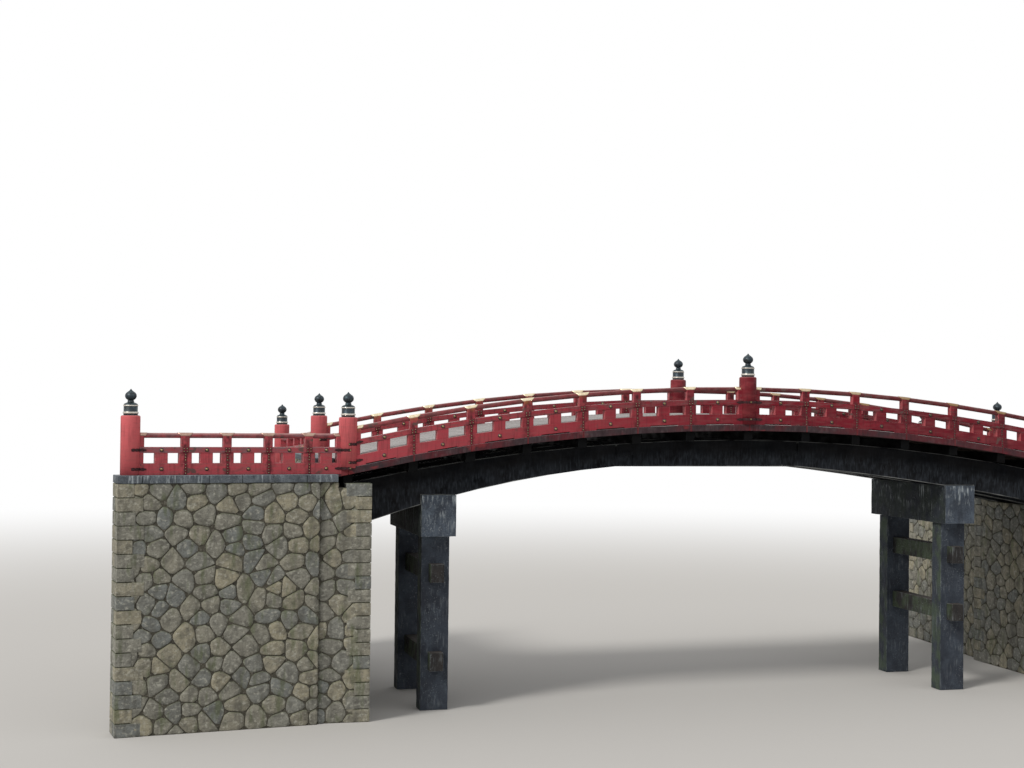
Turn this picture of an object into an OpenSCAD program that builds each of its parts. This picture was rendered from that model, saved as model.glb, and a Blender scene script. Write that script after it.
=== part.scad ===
// Arched timber bridge with round-capped posts, on stone piers and masonry abutments.
// X runs along the bridge, Y across it, Z up. The near side is the low end of Y.
// Levels called "drop" are measured down from the top of the handrail, and follow its arch.

/* [Arch and width] */
// Distance between the two end posts of one railing
span = 28000; // [26000:100:28000]
// Height of the handrail at mid-bridge over its ends
rise = 1520; // [1300:10:1600]
// Height of the handrail at mid-bridge over the feet of the piers
crown_h = 11000; // [10800:50:11600]
// Distance between the middle planes of the two railings
rail_gap = 6776; // [6700:4:7000]
// Bays between two neighbouring round posts of the arch
bays_per_half = 7; // [7:1:8]
// Extra length of a bay beside a round post
end_bay_extra = 227; // [150:1:300]

/* [Railing] */
// Diameter of the round handrail
handrail_d = 160; // [140:2:180]
// Drop to the top of the middle rail
mid_rail_top = 439; // [400:1:470]
// Height of the middle rail
mid_rail_h = 185; // [160:1:200]
// Drop to the top of the lower rail
low_rail_top = 945; // [900:1:980]
// Height of the lower rail
low_rail_h = 357; // [320:1:380]
// Depth of the middle rail across the bridge
mid_rail_w = 300; // [260:2:320]
// Depth of the lower rail across the bridge
low_rail_w = 320; // [300:2:340]
// Length of the drain slit under the lower rail in each bay
slit_len = 1000; // [600:10:1100]
// Height of the drain slit
slit_h = 35; // [20:1:45]
// Width of a small post over the middle rail
post_w = 260; // [220:2:300]
// Depth of a small post across the bridge
post_depth = 240; // [200:2:260]
// Width of a strut between the middle rail and the lower rail
strut_w = 390; // [300:2:420]
// Depth of a strut across the bridge
strut_depth = 280; // [240:2:290]
// Width of a gilt saddle at its top
saddle_top_w = 500; // [440:2:560]
// Width of a gilt saddle at its bottom
saddle_low_w = 290; // [270:2:320]
// Thickness of the saddle metal round the handrail
saddle_wall = 15; // [8:1:20]

/* [Round posts] */
// Diameter of a round post
master_d = 600; // [560:2:620]
// Height of a round post over the handrail beside it
master_over = 350; // [300:5:400]
// Radius of the worn shoulder at the top of a round post
shoulder_r = 55; // [30:1:80]
// Height of the metal cap on a round post
cap_h = 820; // [760:5:860]

/* [Deck and beams] */
// Drop to the walking surface
deck_drop = 940; // [900:1:940]
// Thickness of the deck boards
deck_t = 90; // [60:1:100]
// Drop to the underside of the edge beam
edge_low = 1520; // [1480:1:1560]
// Distance of the edge beam's outer face from the middle of the bridge
edge_out = 3580; // [3560:2:3660]
// Height of a cross beam
cross_h = 330; // [280:2:360]
// Width of a cross beam along the bridge
cross_w = 300; // [240:2:340]
// Width of one main beam
girder_w = 500; // [400:5:540]
// Distance from the middle beam to an outer main beam
girder_gap = 2500; // [2350:5:2500]
// Drop from the crown of the handrail to the flat underside of the main beams
soffit_drop = 2790; // [2700:5:2850]
// Where the flat underside ends on the west, from mid-bridge
flat_west = 4600; // [4200:10:5000]
// Where the flat underside ends on the east, from mid-bridge
flat_east = 2200; // [2000:10:2600]
// Length of the half lap between an arm and the middle beam
lap_len = 600; // [400:10:800]

/* [Piers] */
// Middle of the west pier, from mid-bridge
west_pier = 10820; // [10600:10:11000]
// Middle of the east pier, from mid-bridge
east_pier = 8620; // [8400:10:8800]
// Width of a pier column along the bridge
col_w = 970; // [900:5:1000]
// Depth of a pier column across the bridge
col_depth = 650; // [600:5:700]
// Distance of a column's middle from the middle of the bridge
col_y = 2030; // [1950:5:2080]
// Width of a pier cap along the bridge
pier_cap_w = 1200; // [1100:5:1240]
// Height of a pier cap
pier_cap_h = 1400; // [1300:5:1450]
// Length of a pier cap across the bridge
pier_cap_len = 5700; // [5600:10:5800]
// Width of a tie stone along the bridge
tie_w = 470; // [440:5:560]
// Height of a tie stone
tie_h = 630; // [580:5:680]
// Length of a tie stone across the bridge
tie_len = 5480; // [5400:10:5560]

/* [Wings and abutments] */
// Angle by which the near wings swing away from the bridge
near_flare = 7.5; // [4:0.5:9]
// Angle by which the far wings lean back from square to the bridge
far_lean = 4.4; // [2:0.2:6]
// Length of a bay of a wing railing
wing_bay = 1321; // [1280:1:1340]
// Length of the last bay of a wing railing
wing_last_bay = 1686; // [1600:1:1700]
// Height by which the wing handrails start under the ends of the bridge handrail
wing_step = 190; // [160:5:220]
// Height by which a far wing falls along its length
far_fall = 420; // [0:10:450]
// Thickness of a wing wall
wall_t = 900; // [800:10:940]
// Face of the abutment, from mid-bridge
abut_face = 13300; // [13200:10:13400]
// Depth of an abutment from its face to its back
abut_depth = 1660; // [1600:10:1800]
// Height of the coping stones
coping_h = 250; // [200:5:300]
// Overhang of the coping on each side
coping_over = 50; // [20:5:80]

/* [Hidden] */
$fn = 48;

red = [0.66, 0.16, 0.13];
old_red = [0.45, 0.22, 0.18];
lacquer = [0.10, 0.11, 0.13];
stone = [0.46, 0.47, 0.45];
masonry = [0.40, 0.40, 0.37];
gilt = [0.88, 0.80, 0.58];
bronze = [0.12, 0.19, 0.19];
timber = [0.62, 0.60, 0.56];

// Clearances
joint_gap = 10;
post_clear = 0.3;
deck_clear = 5;
notch_clear = 5;
notch_reach = 300;
notch_reach_round = 700;
cut_past = 1;
tuck = 60;

// Arch of the handrail
half_span = span / 2;
rail_y = rail_gap / 2;
beside = master_d / 2;
arch_r = (half_span * half_span + rise * rise) / (2 * rise);
end_over = 350;
bay = (half_span - 2 * end_bay_extra) / bays_per_half;
half_posts = [for (i = [1 : bays_per_half - 1]) end_bay_extra + i * bay];
small_posts = concat([for (i = [len(half_posts) - 1 : -1 : 0]) -half_posts[i]], half_posts);
round_posts = [-half_span, 0, half_span];
stations = concat(
    [-half_span - end_over, -half_span],
    [for (i = [0 : len(half_posts) - 1]) small_posts[i]],
    [0],
    half_posts,
    [half_span, half_span + end_over]
);
last_station = len(stations) - 1;
function arch_drop(x) = arch_r - sqrt(arch_r * arch_r - x * x);
chain = [for (s = stations) [s, crown_h - arch_drop(s)]];
function rail_top(x) = lookup(x, chain);
function arch_point(x, drop) = [x, rail_top(x) - drop];
function is_round(x) = x == 0 || abs(x) == half_span;

// Levels of the railing and the deck, as drops
mid_rail_low = mid_rail_top + mid_rail_h;
low_rail_low = low_rail_top + low_rail_h;
saddle_drop = 95;
saddle_rise = 12;
half_saddle_top = 215;
half_saddle_low = 160;
half_post_w = 110;
round_strut = 390;
deck_edge = rail_y - low_rail_w / 2 - deck_clear;
bearer_w = 205;
bearer_rows = [-3100, -1550, 0, 1550, 3100];
edge_in = 3210;
cross_out = 3480;
girder_top = edge_low + cross_h;
girder_rows = [-girder_gap, 0, girder_gap];

// Underside of the main beams
soffit_slope = 0.0885;
west_curve = 0.0145 / 1000;
east_curve = 0.0050 / 1000;
function past_flat(x) = x < 0 ? max(0, -x - flat_west) : max(0, x - flat_east);
function soffit(x) = crown_h - soffit_drop
    - past_flat(x) * (soffit_slope + past_flat(x) * (x < 0 ? west_curve : east_curve));
arm_over = 300;
arm_end = half_span + arm_over;
arm_steps = 8;

// Piers
west_cap_top = soffit(-west_pier + pier_cap_w / 2);
east_cap_top = soffit(east_pier - pier_cap_w / 2);
west_cap_low = west_cap_top - pier_cap_h;
east_cap_low = east_cap_top - pier_cap_h;
west_tie_drops = [920, 3870];
east_tie_drops = [830, 2930];

// Abutments and wings
pillar_in = rail_y - wall_t / 2;
pillar_out = rail_y + wall_t / 2;
abut_back = abut_face + abut_depth;
seat_end = half_span + end_over + joint_gap;
west_seat = soffit(-abut_face);
east_seat = soffit(abut_face);
pillar_seat = rail_top(half_span + end_over) - girder_top;
wing_top = crown_h - rise - wing_step;
wall_top = wing_top - low_rail_low - coping_h;
back_wall_top = rail_top(half_span + end_over) - deck_drop;
long_bays = 5;
short_bays = 2;
function wing_len(bays) = (bays - 1) * wing_bay + wing_last_bay;
coping_start = 440;
wall_past = 400;
wing_post_over = 540;
wing_post_h = low_rail_low + wing_post_over;
far_turn = 90 + far_lean;

// Heights and radii of a metal cap: foot ring, low band, sleeve, high band, shoulder, neck and onion
cap_r = 215;
cap_ring_top = 53;
cap_ring_r = cap_r + 5;
cap_low_band_top = 121;
cap_low_band_r = cap_r + 25;
cap_sleeve_top = 270;
cap_high_band_top = 323;
cap_high_band_r = cap_r + 17;
cap_bead = 3;
cap_shoulder = [[cap_r - 5, 352], [cap_r - 40, 372], [cap_r - 85, 388]];
cap_neck_r = 100;
cap_neck = [412, 446];
onion_r = 178;
onion_z = 600;
onion_squash = 0.85;
onion_tip = [[78, 741], [40, 772], [16, 800]];

// The part's origin is the middle of its outline on the ground
long_reach = wing_len(long_bays) + wall_past + coping_over;
short_reach = wing_len(short_bays) + wall_past + coping_over;
coping_half = wall_t / 2 + coping_over;
west_x = -half_span - long_reach * cos(near_flare) - coping_half * sin(near_flare);
east_x = half_span + short_reach * cos(near_flare) + coping_half * sin(near_flare);
near_y = -rail_y - long_reach * sin(near_flare) - coping_half * cos(near_flare);
far_y = rail_y + long_reach * cos(far_lean) + coping_half * sin(far_lean);
mid_x = (west_x + east_x) / 2;
mid_y = (near_y + far_y) / 2;

module place() {
    translate([-mid_x, -mid_y, 0]) children();
}

module near_side() {
    mirror([0, 1, 0]) children();
}

// Upright slice of the bridge between two depths, from an outline in X and Z
module slice(y0, y1, outline) {
    translate([0, y1, 0])
        rotate([90, 0, 0])
            linear_extrude(height = y1 - y0)
                polygon(outline);
}

// Edge that follows the arch from x0 to x1 at a drop, bent at each post
function arch_edge(x0, x1, drop) = [
    for (x = concat([x0], [for (s = stations) if (s > x0 && s < x1) s], [x1])) arch_point(x, drop)
];
function reversed(list) = [for (i = [len(list) - 1 : -1 : 0]) list[i]];

// Bar that follows the arch, from x0 to x1, between two drops and two depths
module arch_bar(x0, x1, top, low, y0, y1) {
    slice(y0, y1, concat(arch_edge(x0, x1, top), reversed(arch_edge(x0, x1, low))));
}

// One bar for each bay, with an open joint at each post
module bay_bars(top, low, y0, y1) {
    for (i = [0 : last_station - 1])
        arch_bar(stations[i] + joint_gap / 2, stations[i + 1] - joint_gap / 2, top, low, y0, y1);
}

// Space taken by the round posts of the arch, over the edge beam
module round_post_space(clear) {
    for (x = round_posts)
        translate([x, rail_y, rail_top(x) - low_rail_low])
            cylinder(d = master_d + 2 * clear, h = low_rail_low + master_over);
}

// Handrail bar between two points of the arch
module rail_rod(x0, x1, d) {
    z0 = rail_top(x0) - handrail_d / 2;
    z1 = rail_top(x1) - handrail_d / 2;
    tilt = atan2(z1 - z0, x1 - x0);
    translate([x0, rail_y, z0])
        rotate([0, 90 - tilt, 0])
            cylinder(d = d, h = norm([x1 - x0, z1 - z0]));
}

module handrail() {
    color(red)
        difference() {
            for (i = [1 : last_station - 2])
                rail_rod(stations[i] + joint_gap / 2, stations[i + 1] - joint_gap / 2, handrail_d);
            round_post_space(post_clear);
        }
}

// Round notch for the handrail, straight through each small post and saddle
module handrail_space() {
    for (x = small_posts)
        straight_notch(x);
    for (x = round_posts) {
        if (x < half_span)
            rail_rod(x, x + notch_reach_round, handrail_d + 2 * post_clear);
        if (x > -half_span)
            rail_rod(x - notch_reach_round, x, handrail_d + 2 * post_clear);
    }
}

module straight_notch(x) {
    tilt = atan2(rail_top(x + notch_reach) - rail_top(x - notch_reach), 2 * notch_reach);
    translate([x, rail_y, rail_top(x) - handrail_d / 2])
        rotate([0, 90 - tilt, 0])
            cylinder(d = handrail_d + 2 * notch_clear, h = 2 * notch_reach, center = true);
}

// Gilt saddle over a joint of the handrail, and half a saddle beside a round post
module saddles() {
    y0 = rail_y - handrail_d / 2 - saddle_wall;
    y1 = rail_y + handrail_d / 2 + saddle_wall;
    half_top = saddle_top_w / 2;
    half_low = saddle_low_w / 2;
    color(gilt)
        difference() {
            union() {
                for (x = small_posts)
                    slice(y0, y1, concat(
                        arch_edge(x - half_top, x + half_top, -saddle_rise),
                        reversed(arch_edge(x - half_low, x + half_low, saddle_drop))
                    ));
                for (x = round_posts, way = [-1, 1])
                    if (abs(x + way * beside) < half_span)
                        slice(y0, y1, [
                            arch_point(x + way * (beside - tuck), -saddle_rise),
                            arch_point(x + way * (beside + half_saddle_top), -saddle_rise),
                            arch_point(x + way * (beside + half_saddle_low), saddle_drop),
                            arch_point(x + way * (beside - tuck), saddle_drop)
                        ]);
            }
            handrail_space();
            round_post_space(post_clear);
        }
}

// Small posts from the middle rail to the saddles, and half posts beside the round posts
module small_posts_row() {
    y0 = rail_y - post_depth / 2;
    y1 = rail_y + post_depth / 2;
    color(red)
        difference() {
            union() {
                for (x = small_posts)
                    arch_bar(x - post_w / 2, x + post_w / 2, saddle_drop, mid_rail_top, y0, y1);
                for (x = round_posts) {
                    if (x < half_span)
                        arch_bar(x + beside - tuck, x + beside + half_post_w, saddle_drop, mid_rail_top, y0, y1);
                    if (x > -half_span)
                        arch_bar(x - beside - half_post_w, x - beside + tuck, saddle_drop, mid_rail_top, y0, y1);
                }
            }
            handrail_space();
            round_post_space(post_clear);
        }
}

module middle_rail() {
    color(red)
        difference() {
            for (i = [1 : last_station - 2])
                arch_bar(stations[i] + joint_gap / 2, stations[i + 1] - joint_gap / 2,
                    mid_rail_top, mid_rail_low, rail_y - mid_rail_w / 2, rail_y + mid_rail_w / 2);
            round_post_space(post_clear);
        }
}

// Struts between the two rails: one at each post and one between the two windows of a bay
module struts() {
    y0 = rail_y - strut_depth / 2;
    y1 = rail_y + strut_depth / 2;
    color(red)
        difference() {
            union() {
                for (x = small_posts)
                    arch_bar(x - strut_w / 2, x + strut_w / 2, mid_rail_low, low_rail_top, y0, y1);
                for (x = round_posts) {
                    if (x < half_span)
                        arch_bar(x + beside - tuck, x + round_strut, mid_rail_low, low_rail_top, y0, y1);
                    if (x > -half_span)
                        arch_bar(x - round_strut, x - beside + tuck, mid_rail_low, low_rail_top, y0, y1);
                }
                for (i = [1 : last_station - 2]) {
                    x0 = stations[i] + (is_round(stations[i]) ? round_strut : strut_w / 2);
                    x1 = stations[i + 1] - (is_round(stations[i + 1]) ? round_strut : strut_w / 2);
                    x = (x0 + x1) / 2;
                    arch_bar(x - strut_w / 2, x + strut_w / 2, mid_rail_low, low_rail_top, y0, y1);
                }
            }
            round_post_space(post_clear);
        }
}

module lower_rail() {
    y0 = rail_y - low_rail_w / 2;
    y1 = rail_y + low_rail_w / 2;
    color(red)
        difference() {
            bay_bars(low_rail_top, low_rail_low, y0, y1);
            for (i = [1 : last_station - 2]) {
                x = (stations[i] + stations[i + 1]) / 2;
                arch_bar(x - slit_len / 2, x + slit_len / 2,
                    low_rail_low - slit_h, low_rail_low + cut_past,
                    y0 - cut_past, y1 + cut_past);
            }
            round_post_space(post_clear);
        }
}

module edge_beam() {
    color(old_red)
        difference() {
            bay_bars(low_rail_low, edge_low, edge_in, edge_out);
            round_post_space(post_clear);
        }
}

module round_post(h) {
    color(red)
        rotate_extrude()
            union() {
                square([beside - shoulder_r, h]);
                square([beside, h - shoulder_r]);
                translate([beside - shoulder_r, h - shoulder_r])
                    intersection() {
                        circle(r = shoulder_r);
                        square([shoulder_r, shoulder_r]);
                    }
            }
}

// Onion-shaped metal cap with two gilt bands, drawn as half its outline
module post_cap() {
    color(bronze)
        rotate_extrude()
            polygon(concat(
                [
                    [0, 0],
                    [cap_ring_r, 0],
                    [cap_ring_r, cap_ring_top - cap_bead],
                    [cap_low_band_r, cap_ring_top + cap_bead],
                    [cap_low_band_r, cap_low_band_top - cap_bead],
                    [cap_r, cap_low_band_top + cap_bead],
                    [cap_r, cap_sleeve_top - cap_bead],
                    [cap_high_band_r, cap_sleeve_top + cap_bead],
                    [cap_high_band_r, cap_high_band_top - cap_bead],
                    [cap_r, cap_high_band_top + cap_bead]
                ],
                cap_shoulder,
                [for (z = cap_neck) [cap_neck_r, z]],
                [for (a = [-60 : 15 : 45]) [onion_r * cos(a), onion_z + onion_r * sin(a) * onion_squash]],
                onion_tip,
                [[0, cap_h]]
            ));
}

module near_wing_at(side) {
    turn = side < 0 ? 180 + near_flare : -near_flare;
    translate([side * half_span, -rail_y, 0]) rotate([0, 0, turn]) children();
}

module far_wing_at(side) {
    turn = side < 0 ? far_turn : 180 - far_turn;
    translate([side * half_span, rail_y, 0]) rotate([0, 0, turn]) children();
}

// Bar of a wing, along its length from s0 to s1, at two levels, falling by fall over the wing's length
module wing_bar(s0, s1, z_top, z_low, half, run, fall) {
    slice(-half, half, [
        [s0, z_top - fall * s0 / run],
        [s1, z_top - fall * s1 / run],
        [s1, z_low - fall * s1 / run],
        [s0, z_low - fall * s0 / run]
    ]);
}

module wing_railing(bays, fall) {
    run = wing_len(bays);
    slope = atan2(-fall, run);
    top = wing_top;
    posts = [for (i = [1 : bays - 1]) i * wing_bay];
    marks = concat([0], posts, [run]);
    z_axis = top - handrail_d / 2;
    inner = beside - tuck;
    color(red)
        difference() {
            union() {
                translate([inner, 0, z_axis - fall * inner / run])
                    rotate([0, 90 - slope, 0])
                        cylinder(d = handrail_d, h = (run - 2 * inner) / cos(slope));
                wing_bar(inner, run - inner, top - mid_rail_top, top - mid_rail_low, mid_rail_w / 2, run, fall);
                wing_bar(inner, run - inner, top - low_rail_top, top - low_rail_low, low_rail_w / 2, run, fall);
                for (s = posts) {
                    wing_bar(s - post_w / 2, s + post_w / 2, top - saddle_drop, top - mid_rail_top,
                        post_depth / 2, run, fall);
                    wing_bar(s - strut_w / 2, s + strut_w / 2, top - mid_rail_low, top - low_rail_top,
                        strut_depth / 2, run, fall);
                }
                for (i = [0 : bays - 1]) {
                    s0 = marks[i] + (i == 0 ? round_strut : strut_w / 2);
                    s1 = marks[i + 1] - (i == bays - 1 ? round_strut : strut_w / 2);
                    s = (s0 + s1) / 2;
                    wing_bar(s - strut_w / 2, s + strut_w / 2, top - mid_rail_low, top - low_rail_top,
                        strut_depth / 2, run, fall);
                }
                wing_bar(inner, round_strut, top - mid_rail_low, top - low_rail_top, strut_depth / 2, run, fall);
                wing_bar(run - round_strut, run - inner, top - mid_rail_low, top - low_rail_top,
                    strut_depth / 2, run, fall);
            }
            for (s = [0, run])
                translate([s, 0, 0])
                    cylinder(d = master_d + 2 * post_clear, h = crown_h);
        }
}

module wing_end(bays, fall) {
    translate([wing_len(bays), 0, wing_top - low_rail_low - fall]) children();
}

module arch_round_posts() {
    for (x = round_posts)
        translate([x, rail_y, rail_top(x) - low_rail_low])
            round_post(low_rail_low + master_over);
}

module arch_post_caps() {
    for (x = round_posts)
        translate([x, rail_y, rail_top(x) + master_over])
            post_cap();
}

module wing_wall(bays, fall) {
    run = wing_len(bays);
    color(masonry)
        slice(-wall_t / 2, wall_t / 2, [
            [0, 0],
            [run + wall_past, 0],
            [run + wall_past, wall_top - fall],
            [run - beside, wall_top - fall],
            [coping_start, wall_top - fall * coping_start / run],
            [0, wall_top - fall * coping_start / run]
        ]);
}

// Coping along a wing, level under its end post
module wing_coping(bays, fall) {
    run = wing_len(bays);
    level_from = run - beside;
    color(stone)
        slice(-coping_half, coping_half, [
            [coping_start, wall_top - fall * coping_start / run],
            [level_from, wall_top - fall],
            [run + wall_past + coping_over, wall_top - fall],
            [run + wall_past + coping_over, wall_top - fall + coping_h],
            [level_from, wall_top - fall + coping_h],
            [coping_start, wall_top - fall * coping_start / run + coping_h]
        ]);
}

// Mass of masonry under one end of the bridge, with a pillar under each end post
module abutment(side, seat) {
    color(masonry)
        union() {
            slice(-pillar_in, pillar_in, [
                [side * abut_face, 0],
                [side * abut_back, 0],
                [side * abut_back, back_wall_top],
                [side * seat_end, back_wall_top],
                [side * seat_end, seat],
                [side * abut_face, seat]
            ]);
            for (y = [-pillar_out, pillar_in])
                slice(y, y + wall_t, [
                    [side * abut_face, 0],
                    [side * abut_back, 0],
                    [side * abut_back, wall_top],
                    [side * seat_end, wall_top],
                    [side * seat_end, pillar_seat],
                    [side * abut_face, pillar_seat]
                ]);
        }
}

module pier_column(x, side, cap_low, tie_drops) {
    color(stone)
        difference() {
            translate([x - col_w / 2, side * col_y - col_depth / 2, 0])
                cube([col_w, col_depth, cap_low]);
            for (d = tie_drops)
                translate([x - tie_w / 2, -tie_len / 2, cap_low - d - tie_h])
                    cube([tie_w, tie_len, tie_h]);
        }
}

module pier_cap(x, top) {
    color(stone)
        translate([x - pier_cap_w / 2, -pier_cap_len / 2, top - pier_cap_h])
            cube([pier_cap_w, pier_cap_len, pier_cap_h]);
}

module pier_ties(x, cap_low, tie_drops) {
    color(stone)
        for (d = tie_drops)
            translate([x - tie_w / 2, -tie_len / 2, cap_low - d - tie_h])
                cube([tie_w, tie_len, tie_h]);
}

// Arms of the main beams, from an abutment over its pier to the half lap
module arm_beams(side, flat_end, cap_x, cap_top, seat) {
    tip = side * flat_end;
    lap_tip = side * (flat_end - lap_len);
    mid_z = (rail_top(tip) - girder_top + soffit(tip)) / 2;
    far_end = side * arm_end;
    upper = side < 0 ? arch_edge(far_end, tip, girder_top) : reversed(arch_edge(tip, far_end, girder_top));
    under = [for (i = [0 : arm_steps]) let (x = tip + (far_end - tip) * i / arm_steps) [x, soffit(x)]];
    color(lacquer)
        difference() {
            for (y = girder_rows)
                slice(y - girder_w / 2, y + girder_w / 2,
                    concat(upper, [[tip, mid_z], [lap_tip, mid_z], [lap_tip, soffit(tip)]], under));
            translate([cap_x - pier_cap_w / 2, -rail_y, 0])
                cube([pier_cap_w, rail_gap, cap_top]);
            translate([side < 0 ? -abut_back : abut_face, -rail_y, 0])
                cube([abut_depth, rail_gap, seat]);
        }
}

module middle_beams() {
    x0 = -flat_west + joint_gap;
    x1 = flat_east - joint_gap;
    west_mid = (rail_top(-flat_west) - girder_top + soffit(-flat_west)) / 2;
    east_mid = (rail_top(flat_east) - girder_top + soffit(flat_east)) / 2;
    color(lacquer)
        for (y = girder_rows)
            slice(y - girder_w / 2, y + girder_w / 2, concat(
                arch_edge(x0, x1, girder_top),
                [
                    [x1, east_mid],
                    [x1 - lap_len, east_mid],
                    [x1 - lap_len, soffit(0)],
                    [x0 + lap_len, soffit(0)],
                    [x0 + lap_len, west_mid],
                    [x0, west_mid]
                ]
            ));
}

module cross_beams() {
    color(lacquer)
        for (i = [1 : last_station - 1])
            arch_bar(stations[i] - cross_w / 2, stations[i] + cross_w / 2,
                edge_low, girder_top, -cross_out, cross_out);
}

module both_post_spaces() {
    round_post_space(deck_clear);
    near_side() round_post_space(deck_clear);
}

module deck_bearers() {
    color(timber)
        difference() {
            for (y = bearer_rows)
                bay_bars(deck_drop + deck_t, edge_low, y - bearer_w / 2, y + bearer_w / 2);
            both_post_spaces();
        }
}

module deck_boards() {
    color(timber)
        difference() {
            bay_bars(deck_drop, deck_drop + deck_t, -deck_edge, deck_edge);
            both_post_spaces();
        }
}

module near_west_wall() {
    intersection() {
        near_wing_at(-1) wing_wall(long_bays, 0);
        translate([west_x, near_y, 0])
            cube([-abut_back - west_x, -near_y, crown_h]);
    }
}

module near_east_wall() {
    intersection() {
        near_wing_at(1) wing_wall(short_bays, 0);
        translate([abut_back, near_y, 0])
            cube([east_x - abut_back, -near_y, crown_h]);
    }
}

module far_wall(side) {
    intersection() {
        far_wing_at(side) wing_wall(long_bays, far_fall);
        translate([-half_span - abut_depth, pillar_out, 0])
            cube([2 * (half_span + abut_depth), far_y - pillar_out, crown_h]);
    }
}

module near_round_posts() {
    near_side() arch_round_posts();
    near_wing_at(-1) wing_end(long_bays, 0) round_post(wing_post_h);
    near_wing_at(1) wing_end(short_bays, 0) round_post(wing_post_h);
}

module far_round_posts() {
    arch_round_posts();
    for (side = [-1, 1])
        far_wing_at(side) wing_end(long_bays, far_fall) round_post(wing_post_h);
}

module near_post_caps() {
    near_side() arch_post_caps();
    near_wing_at(-1) wing_end(long_bays, 0) translate([0, 0, wing_post_h]) post_cap();
    near_wing_at(1) wing_end(short_bays, 0) translate([0, 0, wing_post_h]) post_cap();
}

module far_post_caps() {
    arch_post_caps();
    for (side = [-1, 1])
        far_wing_at(side) wing_end(long_bays, far_fall) translate([0, 0, wing_post_h]) post_cap();
}

module wing_copings() {
    near_wing_at(-1) wing_coping(long_bays, 0);
    near_wing_at(1) wing_coping(short_bays, 0);
    for (side = [-1, 1])
        far_wing_at(side) wing_coping(long_bays, far_fall);
}

place() abutment(-1, west_seat);  // west_abutment
place() abutment(1, east_seat);  // east_abutment
place() near_west_wall();  // near_west_wing_wall
place() far_wall(-1);  // far_west_wing_wall
place() near_east_wall();  // near_east_wing_wall
place() far_wall(1);  // far_east_wing_wall
place() wing_copings();
place() pier_column(-west_pier, -1, west_cap_low, west_tie_drops);  // west_pier_near_column
place() pier_column(-west_pier, 1, west_cap_low, west_tie_drops);  // west_pier_far_column
place() pier_cap(-west_pier, west_cap_top);  // west_pier_cap
place() pier_ties(-west_pier, west_cap_low, west_tie_drops);  // west_pier_ties
place() pier_column(east_pier, -1, east_cap_low, east_tie_drops);  // east_pier_near_column
place() pier_column(east_pier, 1, east_cap_low, east_tie_drops);  // east_pier_far_column
place() pier_cap(east_pier, east_cap_top);  // east_pier_cap
place() pier_ties(east_pier, east_cap_low, east_tie_drops);  // east_pier_ties
place() arm_beams(-1, flat_west, -west_pier, west_cap_top, west_seat);  // west_main_beams
place() middle_beams();  // middle_main_beams
place() arm_beams(1, flat_east, east_pier, east_cap_top, east_seat);  // east_main_beams
place() cross_beams();
place() deck_bearers();
place() deck_boards();
place() near_side() edge_beam();  // near_edge_beam
place() edge_beam();  // far_edge_beam
place() near_side() lower_rail();  // near_lower_rail
place() lower_rail();  // far_lower_rail
place() near_side() struts();  // near_struts
place() struts();  // far_struts
place() near_side() middle_rail();  // near_middle_rail
place() middle_rail();  // far_middle_rail
place() near_side() small_posts_row();  // near_small_posts
place() small_posts_row();  // far_small_posts
place() near_side() handrail();  // near_handrail
place() handrail();  // far_handrail
place() near_side() saddles();  // near_saddles
place() saddles();  // far_saddles
place() near_round_posts();
place() far_round_posts();
place() near_post_caps();
place() far_post_caps();
place() near_wing_at(-1) wing_railing(long_bays, 0);  // near_west_wing_railing
place() far_wing_at(-1) wing_railing(long_bays, far_fall);  // far_west_wing_railing
place() near_wing_at(1) wing_railing(short_bays, 0);  // near_east_wing_railing
place() far_wing_at(1) wing_railing(long_bays, far_fall);  // far_east_wing_railing
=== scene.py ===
"""Looks of an arched timber footbridge on stone piers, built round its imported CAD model.

Every size is in metres, in the frame of the CAD model: X along the bridge, Y across it, Z up. A level
called a drop is measured down from the top of the handrail, and follows the arch as the real one does.
"""

import logging
import math
import random
from collections.abc import Iterable, Sequence
from dataclasses import dataclass, field, replace
from enum import Enum

import bmesh
import bpy
from mathutils import Matrix, Vector


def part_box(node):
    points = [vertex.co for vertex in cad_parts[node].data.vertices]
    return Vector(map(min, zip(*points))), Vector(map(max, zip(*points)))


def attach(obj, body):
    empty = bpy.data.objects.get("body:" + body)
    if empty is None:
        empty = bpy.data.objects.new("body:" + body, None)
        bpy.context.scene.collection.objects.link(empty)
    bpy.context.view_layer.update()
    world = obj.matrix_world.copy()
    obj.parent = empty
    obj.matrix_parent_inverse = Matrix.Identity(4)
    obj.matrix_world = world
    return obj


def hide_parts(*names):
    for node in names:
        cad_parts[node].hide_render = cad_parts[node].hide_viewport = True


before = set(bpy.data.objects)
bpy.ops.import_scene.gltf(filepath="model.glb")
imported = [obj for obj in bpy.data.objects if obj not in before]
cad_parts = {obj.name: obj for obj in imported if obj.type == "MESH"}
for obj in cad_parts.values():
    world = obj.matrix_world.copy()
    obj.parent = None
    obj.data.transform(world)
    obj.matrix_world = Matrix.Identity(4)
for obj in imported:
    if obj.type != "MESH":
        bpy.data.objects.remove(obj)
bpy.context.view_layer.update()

BODY = "root"
MM = 0.001
WHITE = (1.0, 1.0, 1.0, 1.0)
EAST, FARWARD, UP = (Vector(row) for row in Matrix.Identity(3))

# Ways off the bridge: across it at each side and along it at each end
SIDES = {"near": -1, "far": 1}
ENDS = {"west": -1, "east": 1}

# Socket numbers of the Mix node's colour inputs and output, and of Random Value's sockets
MIX_A, MIX_B, MIX_OUT = 6, 7, 2
RANDOM_MIN, RANDOM_MAX, RANDOM_ID, RANDOM_SEED, RANDOM_OUT = 2, 3, 7, 8, 1

# What may feed a node's input
Source = bpy.types.Node | bpy.types.NodeSocket | float

log = logging.getLogger("footbridge")


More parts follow.
